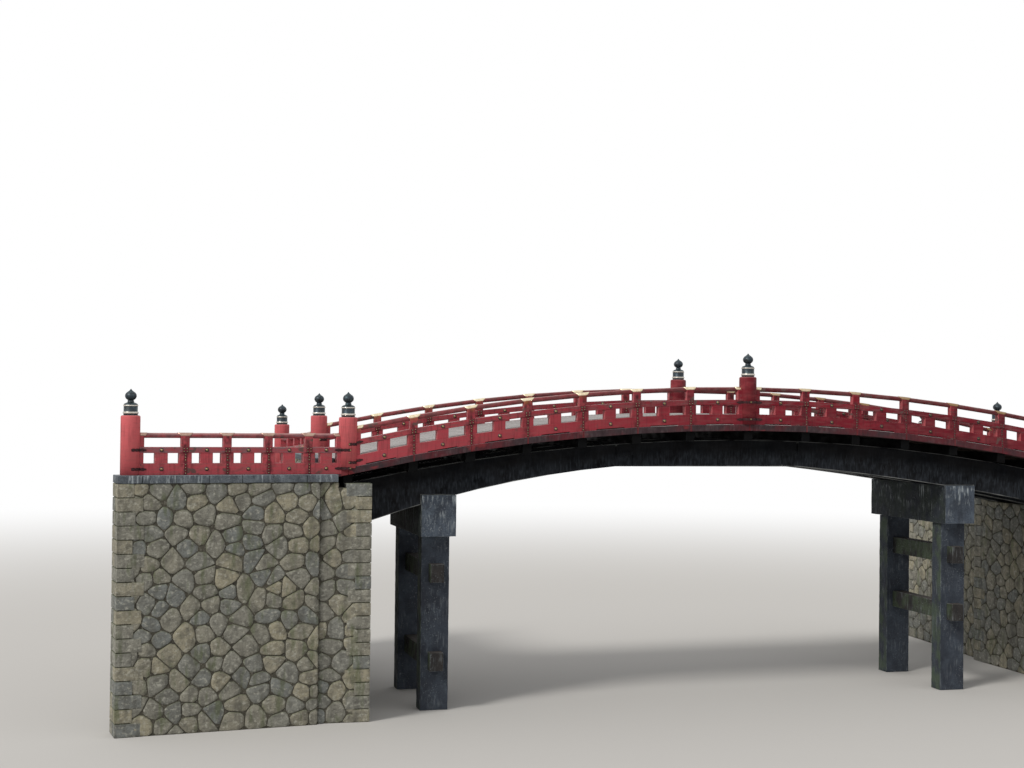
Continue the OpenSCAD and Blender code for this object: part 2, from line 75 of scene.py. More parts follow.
def linear(hex_code: str) -> tuple[float, float, float, float]:
    """Turns an sRGB colour into Blender's linear one.

    Args:
        hex_code: Colour as "#rrggbb".

    Returns:
        Linear red, green, blue and an alpha of 1.
    """
    channels = []
    for place in (1, 3, 5):
        level = int(hex_code[place : place + 2], 16) / 255
        channels.append(level / 12.92 if level <= 0.04045 else ((level + 0.055) / 1.055) ** 2.4)
    return (*channels, 1.0)


def add(
    tree: bpy.types.NodeTree, kind: str, inputs: dict[str | int, object] | None = None, **settings: object
) -> bpy.types.Node:
    """Adds a node with its settings and links.

    Args:
        tree: Material or geometry tree that gets the node.
        kind: Blender's name for the node.
        inputs: For each socket's name or number, its value, the socket that feeds it, or the node whose
            first output does.
        settings: Properties of the node.

    Returns:
        The new node.
    """
    node = tree.nodes.new(kind)
    for name, value in settings.items():
        setattr(node, name, value)
    for name, value in (inputs or {}).items():
        source = value.outputs[0] if isinstance(value, bpy.types.Node) else value
        if isinstance(source, bpy.types.NodeSocket):
            tree.links.new(source, node.inputs[name])
        else:
            node.inputs[name].default_value = source
    return node


def pairs(points: Sequence) -> list[tuple]:
    """Each point of a closed line with the one after it."""
    return list(zip(points, [*points[1:], *points[:1]]))


@dataclass(frozen=True)
class Run:
    """Upright plane of a railing: where it starts, which way it heads, and its handrail at each post."""

    origin: Vector
    heading: float
    marks: tuple[float, ...]
    tops: tuple[float, ...]

    @property
    def along(self) -> Vector:
        """Level direction of the run."""
        return Vector((math.cos(self.heading), math.sin(self.heading), 0.0))

    @property
    def across(self) -> Vector:
        """Level direction square to the run."""
        return Vector((-math.sin(self.heading), math.cos(self.heading), 0.0))

    def top(self, s: float) -> float:
        """Height of the handrail's top at a distance along the run, straight between two posts.

        Args:
            s: The distance.

        Returns:
            The height.
        """
        i = 0
        while i < len(self.marks) - 2 and s > self.marks[i + 1]:
            i += 1
        share = (s - self.marks[i]) / (self.marks[i + 1] - self.marks[i])
        return self.tops[i] + share * (self.tops[i + 1] - self.tops[i])

    def at(self, s: float, t: float, drop: float) -> Vector:
        """Point at a distance along the run, a distance across it and a drop."""
        return self.origin + self.along * s + self.across * t + UP * (self.top(s) - drop)

    def edge(self, s0: float, s1: float, drop: float, extra: Iterable[float] = ()) -> list[Vector]:
        """Points of a line along the run at one drop, bent at each post between its ends.

        Args:
            s0: Where the line starts.
            s1: Where it ends.
            drop: Its drop.
            extra: More places that get a point.

        Returns:
            The points.
        """
        inner = sorted({round(s, 5) for s in (*self.marks, *extra) if s0 + MM < s < s1 - MM})
        return [self.at(s, 0.0, drop) for s in (s0, *inner, s1)]

    def from_joint(self, point: Vector) -> float:
        """Distance along the run from a point to the nearest post."""
        s = (point - self.origin).dot(self.along)
        return min(abs(s - mark) for mark in self.marks)


@dataclass(frozen=True)
class Site:
    """Driving sizes of the bridge and where its middle lies in the frame."""

    span: float = 28.0
    rise: float = 1.52
    rail_gap: float = 6.776
    bays_per_half: int = 7
    end_bay_extra: float = 0.227
    end_over: float = 0.35
    post_over: float = 0.35
    wing_post_over: float = 0.54
    near_flare: float = math.radians(7.5)
    far_lean: float = math.radians(4.4)
    wing_bay: float = 1.321
    wing_last_bay: float = 1.686
    wing_step: float = 0.19
    far_fall: float = 0.42
    long_bays: int = 5
    short_bays: int = 2
    wall_past_post: float = 0.4
    wall_thickness: float = 0.9
    abutment_height: float = 7.7

    @property
    def middle(self) -> Vector:
        """Middle of the bridge, at the level of the handrail's crown."""
        low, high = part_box("cross_beams")
        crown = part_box("near_round_posts")[1].z - self.post_over
        return Vector(((low.x + high.x) / 2, (low.y + high.y) / 2, crown))

    @property
    def bend(self) -> float:
        """Depth of the arch for each square metre of distance from mid-bridge."""
        return self.rise / (self.span / 2) ** 2

    def arch_drop(self, x: float) -> float:
        """Depth of the arch under its crown at a distance from mid-bridge."""
        radius = ((self.span / 2) ** 2 + self.rise**2) / (2 * self.rise)
        return radius - math.sqrt(radius**2 - x**2)

    def stations(self) -> list[float]:
        """Spaces out the posts of one railing, with the bays at mid-bridge and at the ends a little longer.

        Returns:
            Distance of each post from mid-bridge, from west to east.
        """
        half = self.span / 2
        bay = (half - 2 * self.end_bay_extra) / self.bays_per_half
        east = [self.end_bay_extra + i * bay for i in range(1, self.bays_per_half)]
        return [-half, *(-x for x in reversed(east)), 0.0, *east, half]

    def arch_run(self, side: int) -> Run:
        """Run of one railing of the arch.

        Args:
            side: -1 for the near railing, 1 for the far one.

        Returns:
            The run, with its 0 at mid-bridge.
        """
        middle, marks = self.middle, self.stations()
        origin = Vector((middle.x, middle.y + side * self.rail_gap / 2, 0.0))
        return Run(origin, 0.0, tuple(marks), tuple(middle.z - self.arch_drop(x) for x in marks))

    def wing_run(self, side: int, end: int) -> Run:
        """Run of one wing railing.

        Args:
            side: -1 for a near wing, 1 for a far one.
            end: -1 for the west end of the bridge, 1 for the east.

        Returns:
            The run, from the end post of the bridge outwards.
        """
        middle = self.middle
        bays = self.short_bays if (side, end) == (-1, 1) else self.long_bays
        fall = self.far_fall if side > 0 else 0.0
        if side < 0:
            heading = math.pi + self.near_flare if end < 0 else -self.near_flare
        else:
            heading = math.pi / 2 - end * self.far_lean
        marks = [i * self.wing_bay for i in range(bays)]
        marks.append(marks[-1] + self.wing_last_bay)
        top = middle.z - self.rise - self.wing_step
        origin = Vector((middle.x + end * self.span / 2, middle.y + side * self.rail_gap / 2, 0.0))
        return Run(origin, heading, tuple(marks), tuple(top - fall * s / marks[-1] for s in marks))


class Surface:
    """A node material in the making: layers of colour, then gloss and relief."""

    def __init__(self, name: str, base: str) -> None:
        """Starts a material.

        Args:
            name: Name of the material.
            base: Its main colour.
        """
        self.material = bpy.data.materials.new(name)
        self.material.use_nodes = True
        self.tree = self.material.node_tree
        self.shader = self.tree.nodes["Principled BSDF"]
        self.place = add(self.tree, "ShaderNodeTexCoord").outputs["Object"]
        self.at = add(self.tree, "ShaderNodeSeparateXYZ", {"Vector": self.place}).outputs
        normal = add(self.tree, "ShaderNodeNewGeometry").outputs["Normal"]
        self.facing = add(self.tree, "ShaderNodeSeparateXYZ", {"Vector": normal}).outputs
        self.colour: object = linear(base)
        self.relief_so_far: bpy.types.Node | None = None

    def calc(self, operation: str, *values: Source) -> bpy.types.Node:
        """Result of one operation on numbers."""
        return add(self.tree, "ShaderNodeMath", dict(enumerate(values)), operation=operation)

    def between(self, value: Source, low: float, high: float) -> bpy.types.Node:
        """Mask that rises from 0 where a value is low to 1 where it is high."""
        return add(self.tree, "ShaderNodeMapRange", {"Value": value, "From Min": low, "From Max": high})

    def patches(
        self, size_mm: tuple[float, float, float], low: float, high: float, seed: float = 0.0,
        detail: float = 3.0,
    ) -> bpy.types.Node:
        """Mask of cloudy patches of a real size.

        Args:
            size_mm: Typical size of a patch along X, Y and Z.
            low: Level of the noise where the mask is 0.
            high: Level of the noise where the mask is 1.
            seed: Place in the noise, so that two masks differ.
            detail: How finely the patches' edges break up.

        Returns:
            The mask.
        """
        place = {
            "Vector": self.place,
            "Location": (seed, seed, seed),
            "Scale": tuple(1 / (MM * size) for size in size_mm),
        }
        scaled = add(self.tree, "ShaderNodeMapping", place)
        noise = add(self.tree, "ShaderNodeTexNoise", {"Vector": scaled, "Scale": 1.0, "Detail": detail})
        return self.between(noise, low, high)

    def upward(self, low: float = 0.6, high: float = 0.95) -> bpy.types.Node:
        """Mask of the faces that look up, where dust and lichen settle, and where some finishes paint light.
        """
        return self.between(self.facing["Z"], low, high)

    def westward(self) -> bpy.types.Node:
        """Mask of the faces that look west."""
        return self.between(self.facing["X"], -0.3, -0.8)

    def arrises(self) -> bpy.types.Node:
        """Finds the eased arrises of blocks that lie square, or nearly, to the frame.

        Returns:
            Mask of the faces that look along none of its axes.
        """
        most = self.calc("ABSOLUTE", self.facing["X"])
        for axis in ("Y", "Z"):
            most = self.calc("MAXIMUM", most, self.calc("ABSOLUTE", self.facing[axis]))
        return self.between(most, 0.95, 0.8)

    def under_handrail(self) -> bpy.types.Node:
        """Measures how far each point lies under the arch of the handrail's top.

        Returns:
            The depth in metres.
        """
        site = Site()
        middle = site.middle
        x = self.calc("SUBTRACT", self.at["X"], middle.x)
        level = self.calc("MULTIPLY_ADD", self.calc("MULTIPLY", x, x), site.bend, self.at["Z"])
        return self.calc("SUBTRACT", middle.z, level)

    def attribute(self, name: str) -> bpy.types.NodeSocket:
        """Number that the piece's mesh holds under a name."""
        return add(self.tree, "ShaderNodeAttribute", attribute_name=name).outputs["Fac"]

    def both(self, *masks: Source) -> Source:
        """Multiplies masks and shares.

        Args:
            masks: The masks, and the shares as plain numbers.

        Returns:
            Their product.
        """
        product = masks[0]
        for mask in masks[1:]:
            product = self.calc("MULTIPLY", product, mask)
        return product

    def cover(self, colour: str, *masks: Source) -> None:
        """Lays a colour over what is there, where the masks are all 1."""
        layers = {0: self.both(*masks), MIX_A: self.colour, MIX_B: linear(colour)}
        self.colour = add(self.tree, "ShaderNodeMix", layers, data_type="RGBA").outputs[MIX_OUT]

    def relief(self, height: Source, depth_mm: float) -> None:
        """Raises the surface where a mask is 1.

        Args:
            height: The mask.
            depth_mm: By how much the surface rises, as a real depth.
        """
        inputs = {"Height": height, "Distance": depth_mm * MM, "Strength": 1.0}
        if self.relief_so_far:
            inputs["Normal"] = self.relief_so_far
        self.relief_so_far = add(self.tree, "ShaderNodeBump", inputs)

    def finish(self, gloss: Source, smooth: float, rough: float, **sockets: float) -> bpy.types.Material:
        """Joins the layers to the shader.

        Args:
            gloss: Mask of the rough places.
            smooth: Roughness where the mask is 0.
            rough: Roughness where the mask is 1.
            sockets: Constant values of the shader's own sockets, with _ for a space.

        Returns:
            The finished material.
        """
        roughness = add(self.tree, "ShaderNodeMapRange", {"Value": gloss, "To Min": smooth, "To Max": rough})
        self.tree.links.new(roughness.outputs[0], self.shader.inputs["Roughness"])
        self.tree.links.new(self.colour, self.shader.inputs["Base Color"])
        if self.relief_so_far:
            self.tree.links.new(self.relief_so_far.outputs[0], self.shader.inputs["Normal"])
        for name, value in sockets.items():
            self.shader.inputs[name.replace("_", " ")].default_value = value
        return self.material


class Grain(Enum):
    """Way that a timber lies, as the size in mm of its brush marks along X, Y and Z."""

    ALONG = (1100.0, 26.0, 26.0)
    ACROSS = (26.0, 1100.0, 26.0)
    UPRIGHT = (26.0, 26.0, 1100.0)


@dataclass(frozen=True)
class Finish:
    """Base of every finish: its material's name, and the name of a slot, which nothing in this script uses.
    """

    name: str
    slot: str

    def make(self) -> bpy.types.Material:
        """Builds the material."""
        raise NotImplementedError

    def material(self) -> bpy.types.Material:
        """The finish's material, built when it is first asked for."""
        return bpy.data.materials.get(self.name) or self.make()


@dataclass(frozen=True)
class Vermilion(Finish):
    """Red lacquer brushed on planed cypress, chalky from years of sun.

    The lacquer is satin, and duller where it has faded. The paler colour towards the west, and the palest
    on the faces that look west, are painted sunlight. It is rosy grey with dust on top, paler there also
    as painted light on the tops, and dark with grime beside the joints. Rain has washed a little gold from
    the western saddles on to the posts under them. Old lacquer mirrors less than new, so its specular
    level is under the usual 0.5.
    """

    grain: Grain = Grain.ALONG
    weather: float = 0.3
    soot: float = 0.6
    streaks: float = 0.5
    joint_grime: float = 0.85
    gold_wash: float = 0.0
    west_sunlight_share: float = 0.7
    jointed: bool = True
    dust_lies: tuple[float, float] = (0.6, 0.95)
    fresh: str = "#7a1525"
    deep: str = "#570f1d"
    faded_and_sunlit: str = "#b34b53"
    west_sunlit: str = "#cc666b"
    rosy: str = "#7d5553"
    dust_and_top_light: str = "#ad8583"
    grime: str = "#35191c"
    soiled: str = "#5b4743"
    gold: str = "#a8713f"
    sunny_x: tuple[float, float] = (2.5, -13.5)
    washed_x: tuple[float, float] = (-3.0, -5.0)
    washed_drops: tuple[float, float] = (0.24, 0.1)
    grime_reach: tuple[float, float] = (0.26, 0.02)
    soil_reach: tuple[float, float] = (0.55, 0.3)

    def make(self) -> bpy.types.Material:
        """Builds the material.

        Returns:
            The material.
        """
        s = Surface(self.name, self.fresh)
        s.cover(self.deep, s.patches((2600, 1400, 900), 0.42, 0.66, 3.1), 0.7)
        # Painted sunlight and shade: paler towards the west, darker towards the east
        s.cover(self.faded_and_sunlit, s.between(s.at["X"], *self.sunny_x), 0.9)
        # Painted sunlight on the faces that look west
        s.cover(self.west_sunlit, s.westward(), self.west_sunlight_share)
        s.cover(self.faded_and_sunlit, s.patches((700, 500, 260), 0.5, 0.78, 7.7, 5.0), 0.35)
        s.cover(self.rosy, s.patches((420, 420, 75), 0.42, 0.64, 4.4, 5.0), self.weather)
        s.cover(self.grime, s.patches((70, 70, 900), 0.52, 0.8, 1.3), self.streaks)
        s.cover(self.grime, s.patches((130, 130, 60), 0.56, 0.72, 8.3, 4.0), self.weather, self.soot)
        if self.jointed:
            from_joint = s.attribute("from_joint")
            near_joint = s.between(from_joint, *self.grime_reach)
            s.cover(self.grime, near_joint, s.patches((150, 150, 200), 0.42, 0.66, 5.0), self.joint_grime)
            wide = s.between(from_joint, *self.soil_reach)
            s.cover(self.soiled, wide, s.patches((420, 420, 300), 0.62, 0.66, 2.6, 4.0), 0.9)
        if self.gold_wash:
            below = s.between(s.under_handrail(), *self.washed_drops)
            west = s.between(s.at["X"], *self.washed_x)
            s.cover(self.gold, below, west, s.patches((110, 110, 300), 0.3, 0.6, 6.0), self.gold_wash)
        # Dust on the tops, also standing in for light on them: partly painted light
        s.cover(self.dust_and_top_light, s.upward(*self.dust_lies), s.patches((420, 420, 200), 0.2, 0.55, 2.0), 0.9)
        s.relief(s.patches(self.grain.value, 0.3, 0.7, 0.0, 2.0), 0.8)
        gloss = s.patches((500, 500, 300), 0.35, 0.7, 9.0)
        return s.finish(gloss, 0.42, 0.68, IOR=1.5, Specular_IOR_Level=0.18)


@dataclass(frozen=True)
class WornVermilion(Finish):
    """Red lacquer that rain has washed off the edge beams, down to stained timber.

    It survives in a few patches near the joints. Between them the timber is brown-grey with dark runs,
    and the ledge on top of it is pale with dust.
    """

    timber: str = "#392a2e"
    pale: str = "#5f5456"
    stain: str = "#21181a"
    paint: str = "#581f27"
    bright: str = "#7f2c31"
    ledge: str = "#9a8f94"
    red_x: tuple[float, float] = (5.0, 12.0)
    patch_reach: tuple[float, float] = (0.6, 0.4)
    end_reach: tuple[float, float] = (0.03, 0.02)

    def make(self) -> bpy.types.Material:
        """Builds the material.

        Returns:
            The material.
        """
        s = Surface(self.name, self.timber)
        s.cover(self.paint, s.patches((1300, 1300, 700), 0.44, 0.6, 4.0), 0.85)
        s.cover(self.pale, s.patches((120, 120, 200), 0.5, 0.74, 8.2, 4.0), 0.4)
        s.cover(self.stain, s.patches((60, 60, 420), 0.48, 0.72, 2.2, 4.0), 0.65)
        from_joint = s.attribute("from_joint")
        near_joint = s.between(from_joint, *self.patch_reach)
        s.cover(self.bright, near_joint, s.patches((620, 620, 500), 0.58, 0.66, 6.3, 5.0), 0.75)
        s.cover(self.bright, s.between(from_joint, *self.end_reach), 0.6)
        east = s.between(s.at["X"], *self.red_x)
        s.cover(self.paint, east, s.patches((800, 800, 400), 0.35, 0.6), 0.7)
        s.cover(self.ledge, s.upward(), 0.8)
        s.relief(s.patches(Grain.ALONG.value, 0.3, 0.7), 1.5)
        return s.finish(s.patches((300, 300, 300), 0.35, 0.65), 0.6, 0.88, IOR=1.5, Specular_IOR_Level=0.25)


@dataclass(frozen=True)
class BlackLacquer(Finish):
    """Black lacquer on heavy squared timbers, gone matt, with blue-grey dust run down their sides.

    Most of the dust is on the lower half of the main beams. Their long arrises and their tops are rubbed
    pale, and this pale colour is also a painted highlight where light catches them.
    """

    black: str = "#050609"
    dusty: str = "#4a5058"
    brown: str = "#0e0b0b"
    wear_and_highlight: str = "#8d8f8e"
    dust_drops: tuple[float, float] = (2.15, 2.5)
    beam_top: tuple[float, float] = (1.9, 1.95)
    beam_foot: tuple[float, float] = (2.74, 2.68)

    def make(self) -> bpy.types.Material:
        """Builds the material.

        Returns:
            The material.
        """
        s = Surface(self.name, self.black)
        level = s.under_handrail()
        lower = s.between(level, *self.dust_drops)
        s.cover(self.brown, s.patches((1800, 1800, 1100), 0.4, 0.7, 3.0), 0.7)
        broad = s.patches((340, 340, 420), 0.3, 0.7, 1.0, 4.0)
        s.cover(self.dusty, broad, s.calc("MULTIPLY_ADD", lower, 0.2, 0.03))
        hatch = s.patches((48, 48, 210), 0.46, 0.74, 6.0, 5.0)
        s.cover(self.dusty, hatch, s.calc("MULTIPLY_ADD", lower, 0.34, 0.05))
        # Rubbed tops, partly a painted highlight
        s.cover(self.wear_and_highlight, s.upward(0.5, 0.9), 0.3)
        inside = s.both(s.between(level, *self.beam_top), s.between(level, *self.beam_foot))
        edges = s.both(s.attribute("arris"), s.calc("SUBTRACT", 1.0, inside))
        share = s.calc("MULTIPLY_ADD", lower, 0.4, 0.35)
        # Rubbed arrises, partly a painted highlight along their upper and lower edges
        s.cover(self.wear_and_highlight, edges, s.patches((700, 300, 300), 0.34, 0.56, 5.5), share)
        s.relief(s.patches(Grain.ALONG.value, 0.3, 0.7), 1.2)
        return s.finish(s.patches((600, 600, 300), 0.35, 0.65), 0.5, 0.8, IOR=1.5, Specular_IOR_Level=0.08)


@dataclass(frozen=True)
class BareTimber(Finish):
    """Sawn cypress left bare, silvered by weather on top, with painted shade on its undersides and its grain
    proud.
    """

    grain: Grain = Grain.ALONG
    wood: str = "#8b8074"
    pale: str = "#b3aca3"
    dark: str = "#5b5148"
    damp_and_shade: str = "#2a2421"
    fibre_share: float = 0.35

    def make(self) -> bpy.types.Material:
        """Builds the material.

        Returns:
            The material.
        """
        s = Surface(self.name, self.wood)
        fibre = tuple(size * self.fibre_share for size in self.grain.value)
        s.cover(self.pale, s.attribute("tone"), 0.7)
        s.cover(self.dark, s.patches(fibre, 0.4, 0.7, 2.0, 5.0), 0.6)
        s.cover(self.dark, s.patches((800, 600, 400), 0.45, 0.7, 8.0), 0.35)
        s.cover(self.pale, s.upward(), 0.45)
        # Painted shade on the faces that look down
        s.cover(self.damp_and_shade, s.between(s.facing["Z"], -0.2, -0.7), 0.8)
        s.relief(s.patches(fibre, 0.3, 0.7, 2.0, 4.0), 1.5)
        return s.finish(s.patches((200, 200, 200), 0.3, 0.7), 0.6, 0.85, IOR=1.5, Specular_IOR_Level=0.3)


@dataclass(frozen=True)
class SilledTimber(Finish):
    """Timber that slopes down in the drain slits, its pale colour painted light, with silt, and black on the
    west as painted shade.
    """

    wood: str = "#efe6e4"
    silt_and_shade: str = "#2c2224"
    shaded_x: tuple[float, float] = (-0.5, -3.0)

    def make(self) -> bpy.types.Material:
        """Builds the material.

        Returns:
            The material.
        """
        # The pale wood colour is painted light
        s = Surface(self.name, self.wood)
        s.cover(self.silt_and_shade, s.patches((160, 90, 90), 0.5, 0.72, 3.0, 4.0), 0.5)
        # Painted shade on the west
        s.cover(self.silt_and_shade, s.between(s.at["X"], *self.shaded_x), 0.93)
        s.relief(s.patches(Grain.ALONG.value, 0.3, 0.7), 1.0)
        return s.finish(s.patches((200, 200, 200), 0.3, 0.7), 0.6, 0.85, IOR=1.5, Specular_IOR_Level=0.3)


@dataclass(frozen=True)
class Gilt(Finish):
    """Gilded copper sheet, pale and bright, dulled where the leaf is thin, and darker on the east as painted
    shade.
    """

    gold: str = "#efe2c4"
    thin: str = "#cfb98d"
    tarnish: str = "#8d7a58"
    east: str = "#97774a"
    east_shade_share: float = 0.0
    east_shade_x: tuple[float, float] = (1.0, 8.5)

    def make(self) -> bpy.types.Material:
        """Builds the material.

        Returns:
            The material.
        """
        s = Surface(self.name, self.gold)
        s.cover(self.thin, s.patches((90, 90, 60), 0.45, 0.7, 1.0, 4.0), 0.6)
        # Painted shade: darker towards the east
        s.cover(self.east, s.between(s.at["X"], *self.east_shade_x), self.east_shade_share)
        s.cover(self.tarnish, s.patches((45, 45, 30), 0.58, 0.75, 4.0, 5.0), 0.6)
        s.relief(s.patches((120, 120, 120), 0.3, 0.7, 3.0), 1.0)
        return s.finish(s.patches((60, 60, 60), 0.35, 0.7), 0.3, 0.52, Metallic=0.8)


@dataclass(frozen=True)
class DarkBronze(Finish):
    """Cast bronze gone blue-black in the open, with a soft shine where rain has rubbed it."""

    metal: str = "#353e46"
    brown: str = "#35332f"
    verdigris: str = "#5a6e70"

    def make(self) -> bpy.types.Material:
        """Builds the material.

        Returns:
            The material.
        """
        s = Surface(self.name, self.metal)
        s.cover(self.brown, s.patches((180, 180, 120), 0.42, 0.68, 2.0), 0.6)
        s.cover(self.verdigris, s.patches((60, 60, 140), 0.52, 0.74, 5.0, 5.0), 0.6)
        s.cover(self.verdigris, s.upward(), 0.4)
        s.relief(s.patches((25, 25, 25), 0.3, 0.7, 3.0), 0.5)
        return s.finish(s.patches((80, 80, 80), 0.35, 0.7), 0.32, 0.55, Metallic=0.75)


@dataclass(frozen=True)
class PaintedBronze(Finish):
    """Thin bronze plates under old red paint, which has darkened and rubs off to brown metal."""

    paint: str = "#6b1f28"
    metal: str = "#3a2728"
    edge: str = "#80604d"

    def make(self) -> bpy.types.Material:
        """Builds the material.

        Returns:
            The material.
        """
        s = Surface(self.name, self.paint)
        s.cover(self.metal, s.patches((60, 60, 60), 0.46, 0.66, 2.0, 4.0), 0.7)
        s.cover(self.edge, s.patches((25, 25, 25), 0.6, 0.74, 6.0, 4.0), 0.5)
        s.relief(s.patches((30, 30, 30), 0.3, 0.7, 3.0), 0.6)
        gloss = s.patches((80, 80, 80), 0.35, 0.7)
        return s.finish(gloss, 0.42, 0.62, Metallic=0.3, Specular_IOR_Level=0.3)


@dataclass(frozen=True)
class TooledStone(Finish):
    """Blue-grey andesite dressed with a point, which leaves it speckled.

    Lime has run down the caps from the beams on them, and a little further. The stone is dark where it
    stays damp, and knocked arrises are pale. The faces towards the river, on the west, are darkened as
    painted shade and greened with algae. The caps' own river faces are painted nearly black as shade, and
    the columns below them are darkened as painted shade too.
    """

    stone: str = "#38404c"
    pale: str = "#66717d"
    lime: str = "#aeb6ba"
    damp_and_shade: str = "#23262e"
    river_face_shade: str = "#10161b"
    algae: str = "#48563f"
    knocked: float = 0.45
    lime_drops: tuple[float, float] = (4.2, 3.0)
    cap_foot: float = 4.35
    column_top: float = 4.55

    def make(self) -> bpy.types.Material:
        """Builds the material.

        Returns:
            The material.
        """
        s = Surface(self.name, self.stone)
        s.cover(self.pale, s.attribute("tone"), 0.3)
        s.cover(self.damp_and_shade, s.patches((520, 520, 800), 0.42, 0.66, 1.0, 4.0), 0.65)
        s.cover(self.damp_and_shade, s.patches((100, 100, 700), 0.52, 0.74, 3.0, 4.0), 0.3)
        s.cover(self.pale, s.patches((300, 300, 500), 0.5, 0.7, 11.0, 5.0), 0.4)
        level, west = s.under_handrail(), s.westward()
        # Painted shade on the columns under the caps
        s.cover(self.damp_and_shade, s.between(level, self.cap_foot, self.column_top), 0.5)
        # Painted shade on the faces that look west, with algae on them
        s.cover(self.damp_and_shade, west, 0.35)
        s.cover(self.algae, west, s.patches((420, 420, 600), 0.42, 0.6, 7.0, 4.0), 0.6)
        # Painted shade: the caps' river faces nearly black
        s.cover(self.river_face_shade, west, s.between(level, self.column_top, self.cap_foot), 0.72)
        s.cover(self.damp_and_shade, s.patches((38, 38, 38), 0.53, 0.64, 14.0, 3.0), 0.45)
        specks, clouds = s.patches((50, 50, 46), 0.6, 0.7, 9.0, 4.0), s.patches((700, 700, 900), 0.4, 0.62)
        s.cover(self.lime, specks, clouds, 0.34)
        narrow = s.patches((75, 75, 420), 0.52, 0.66, 6.0, 5.0)
        runs = s.both(narrow, s.patches((900, 900, 600), 0.48, 0.6, 2.0))
        under_beams = s.between(level, *self.lime_drops)
        s.cover(self.lime, runs, s.calc("MULTIPLY_ADD", under_beams, 0.62, 0.13))
        s.cover(self.lime, s.arrises(), s.patches((260, 260, 260), 0.44, 0.6, 21.0), self.knocked)
        s.cover(self.pale, s.upward(), 0.6)
        s.relief(s.patches((36, 36, 26), 0.3, 0.7, 2.0, 3.0), 6.0)
        s.relief(s.patches((9, 9, 9), 0.3, 0.7, 5.0, 2.0), 1.2)
        return s.finish(s.patches((200, 200, 200), 0.35, 0.7), 0.75, 0.95, IOR=1.5, Specular_IOR_Level=0.3)


@dataclass(frozen=True)
class Rubble(Finish):
    """River boulders and quarry stone roughly split for the walls, grey to buff, with moss in the hollows."""

    grey: str = "#86847a"
    buff: str = "#9c957f"
    blue: str = "#737878"
    pale: str = "#b5b4a8"
    dark: str = "#504f49"
    moss: str = "#535b3d"

    def make(self) -> bpy.types.Material:
        """Builds the material.

        Returns:
            The material.
        """
        s = Surface(self.name, self.grey)
        tone = s.attribute("tone")
        s.cover(self.buff, s.between(tone, 0.5, 0.95), 0.8)
        s.cover(self.blue, s.between(tone, 0.4, 0.05), 0.75)
        s.cover(self.dark, s.patches((300, 300, 260), 0.42, 0.66, 2.0, 5.0), 0.6)
        s.cover(self.pale, s.patches((110, 110, 90), 0.52, 0.7, 7.0, 5.0), 0.6)
        s.cover(self.dark, s.patches((40, 40, 40), 0.56, 0.68, 12.0, 4.0), 0.5)
        s.cover(self.dark, s.patches((260, 260, 2400), 0.5, 0.7, 15.0, 4.0), 0.55)
        s.cover(self.moss, s.patches((240, 240, 900), 0.54, 0.68, 5.0, 5.0), 0.6)
        s.cover(self.moss, s.upward(0.15, 0.7), 0.5)
        s.relief(s.patches((130, 130, 100), 0.3, 0.7, 2.0, 5.0), 16.0)
        s.relief(s.patches((14, 14, 14), 0.3, 0.7, 5.0, 2.0), 2.0)
        return s.finish(s.patches((200, 200, 200), 0.35, 0.7), 0.8, 0.95, IOR=1.5, Specular_IOR_Level=0.3)


@dataclass(frozen=True)
class Hearting(Finish):
    """Earthy lime mortar and small stones behind the face of the walls."""

    mortar: str = "#4f4c43"
    dark: str = "#2c2b26"
    pebble: str = "#77746a"

    def make(self) -> bpy.types.Material:
        """Builds the material.

        Returns:
            The material.
        """
        s = Surface(self.name, self.mortar)
        s.cover(self.dark, s.patches((500, 500, 500), 0.4, 0.7, 1.0, 4.0), 0.8)
        s.cover(self.pebble, s.patches((60, 60, 60), 0.55, 0.66, 3.0), 0.6)
        s.relief(s.patches((60, 60, 60), 0.35, 0.65, 3.0), 10.0)
        s.relief(s.patches((9, 9, 9), 0.3, 0.7, 5.0), 2.0)
        return s.finish(s.patches((200, 200, 200), 0.35, 0.7), 0.85, 0.97, IOR=1.5, Specular_IOR_Level=0.2)


RED_LOWER = Vermilion("vermilion_lower_rails", "red_timber", weather=0.22)
RED_MIDDLE = Vermilion("vermilion_middle_rails", "red_timber", weather=0.75, soot=0.4, rosy="#74494a")
RED_HANDRAIL = Vermilion(
    "vermilion_handrails", "red_timber", weather=0.85, soot=0.15, streaks=0.15, joint_grime=0.35,
    fresh="#64262a", faded_and_sunlit="#a04f54", rosy="#6b4a49",
)
RED_STRUTS = Vermilion("vermilion_struts", "red_timber", Grain.UPRIGHT, 0.2)
RED_STUBS = Vermilion("vermilion_small_posts", "red_timber", Grain.UPRIGHT, 0.35, gold_wash=0.5)
RED_POSTS = Vermilion(
    "vermilion_round_posts", "red_timber", Grain.UPRIGHT, 0.15, west_sunlight_share=0.06, jointed=False,
    fresh="#67121e", faded_and_sunlit="#d4666a",
)
RED_WINGS = Vermilion("vermilion_near_wings", "red_timber", weather=0.45)
RED_FAR_WINGS = Vermilion("vermilion_far_wings", "red_timber", Grain.ACROSS, 0.45, west_sunlight_share=0.2)
DUSTY_WINGS = replace(
    RED_WINGS, name="dusty_vermilion_near_wings", weather=0.95, soot=0.2, streaks=0.2, joint_grime=0.4,
    dust_lies=(0.2, 0.7), faded_and_sunlit="#a04a50", rosy="#7a5a5e",
)
DUSTY_FAR_WINGS = replace(
    DUSTY_WINGS, name="dusty_vermilion_far_wings", grain=Grain.ACROSS, west_sunlight_share=0.2
)
RED_EDGE = WornVermilion("worn_vermilion_edge", "worn_red_timber")
BLACK_BEAMS = BlackLacquer("black_lacquer_beams", "black_timber")
# A darker copy of the black lacquer, as painted shade under the edge beams
SHADED_BLACK_CROSS = BlackLacquer(
    "black_lacquer_cross_beams", "black_timber", "#030405", "#14161a", "#080606", "#1e2022"
)
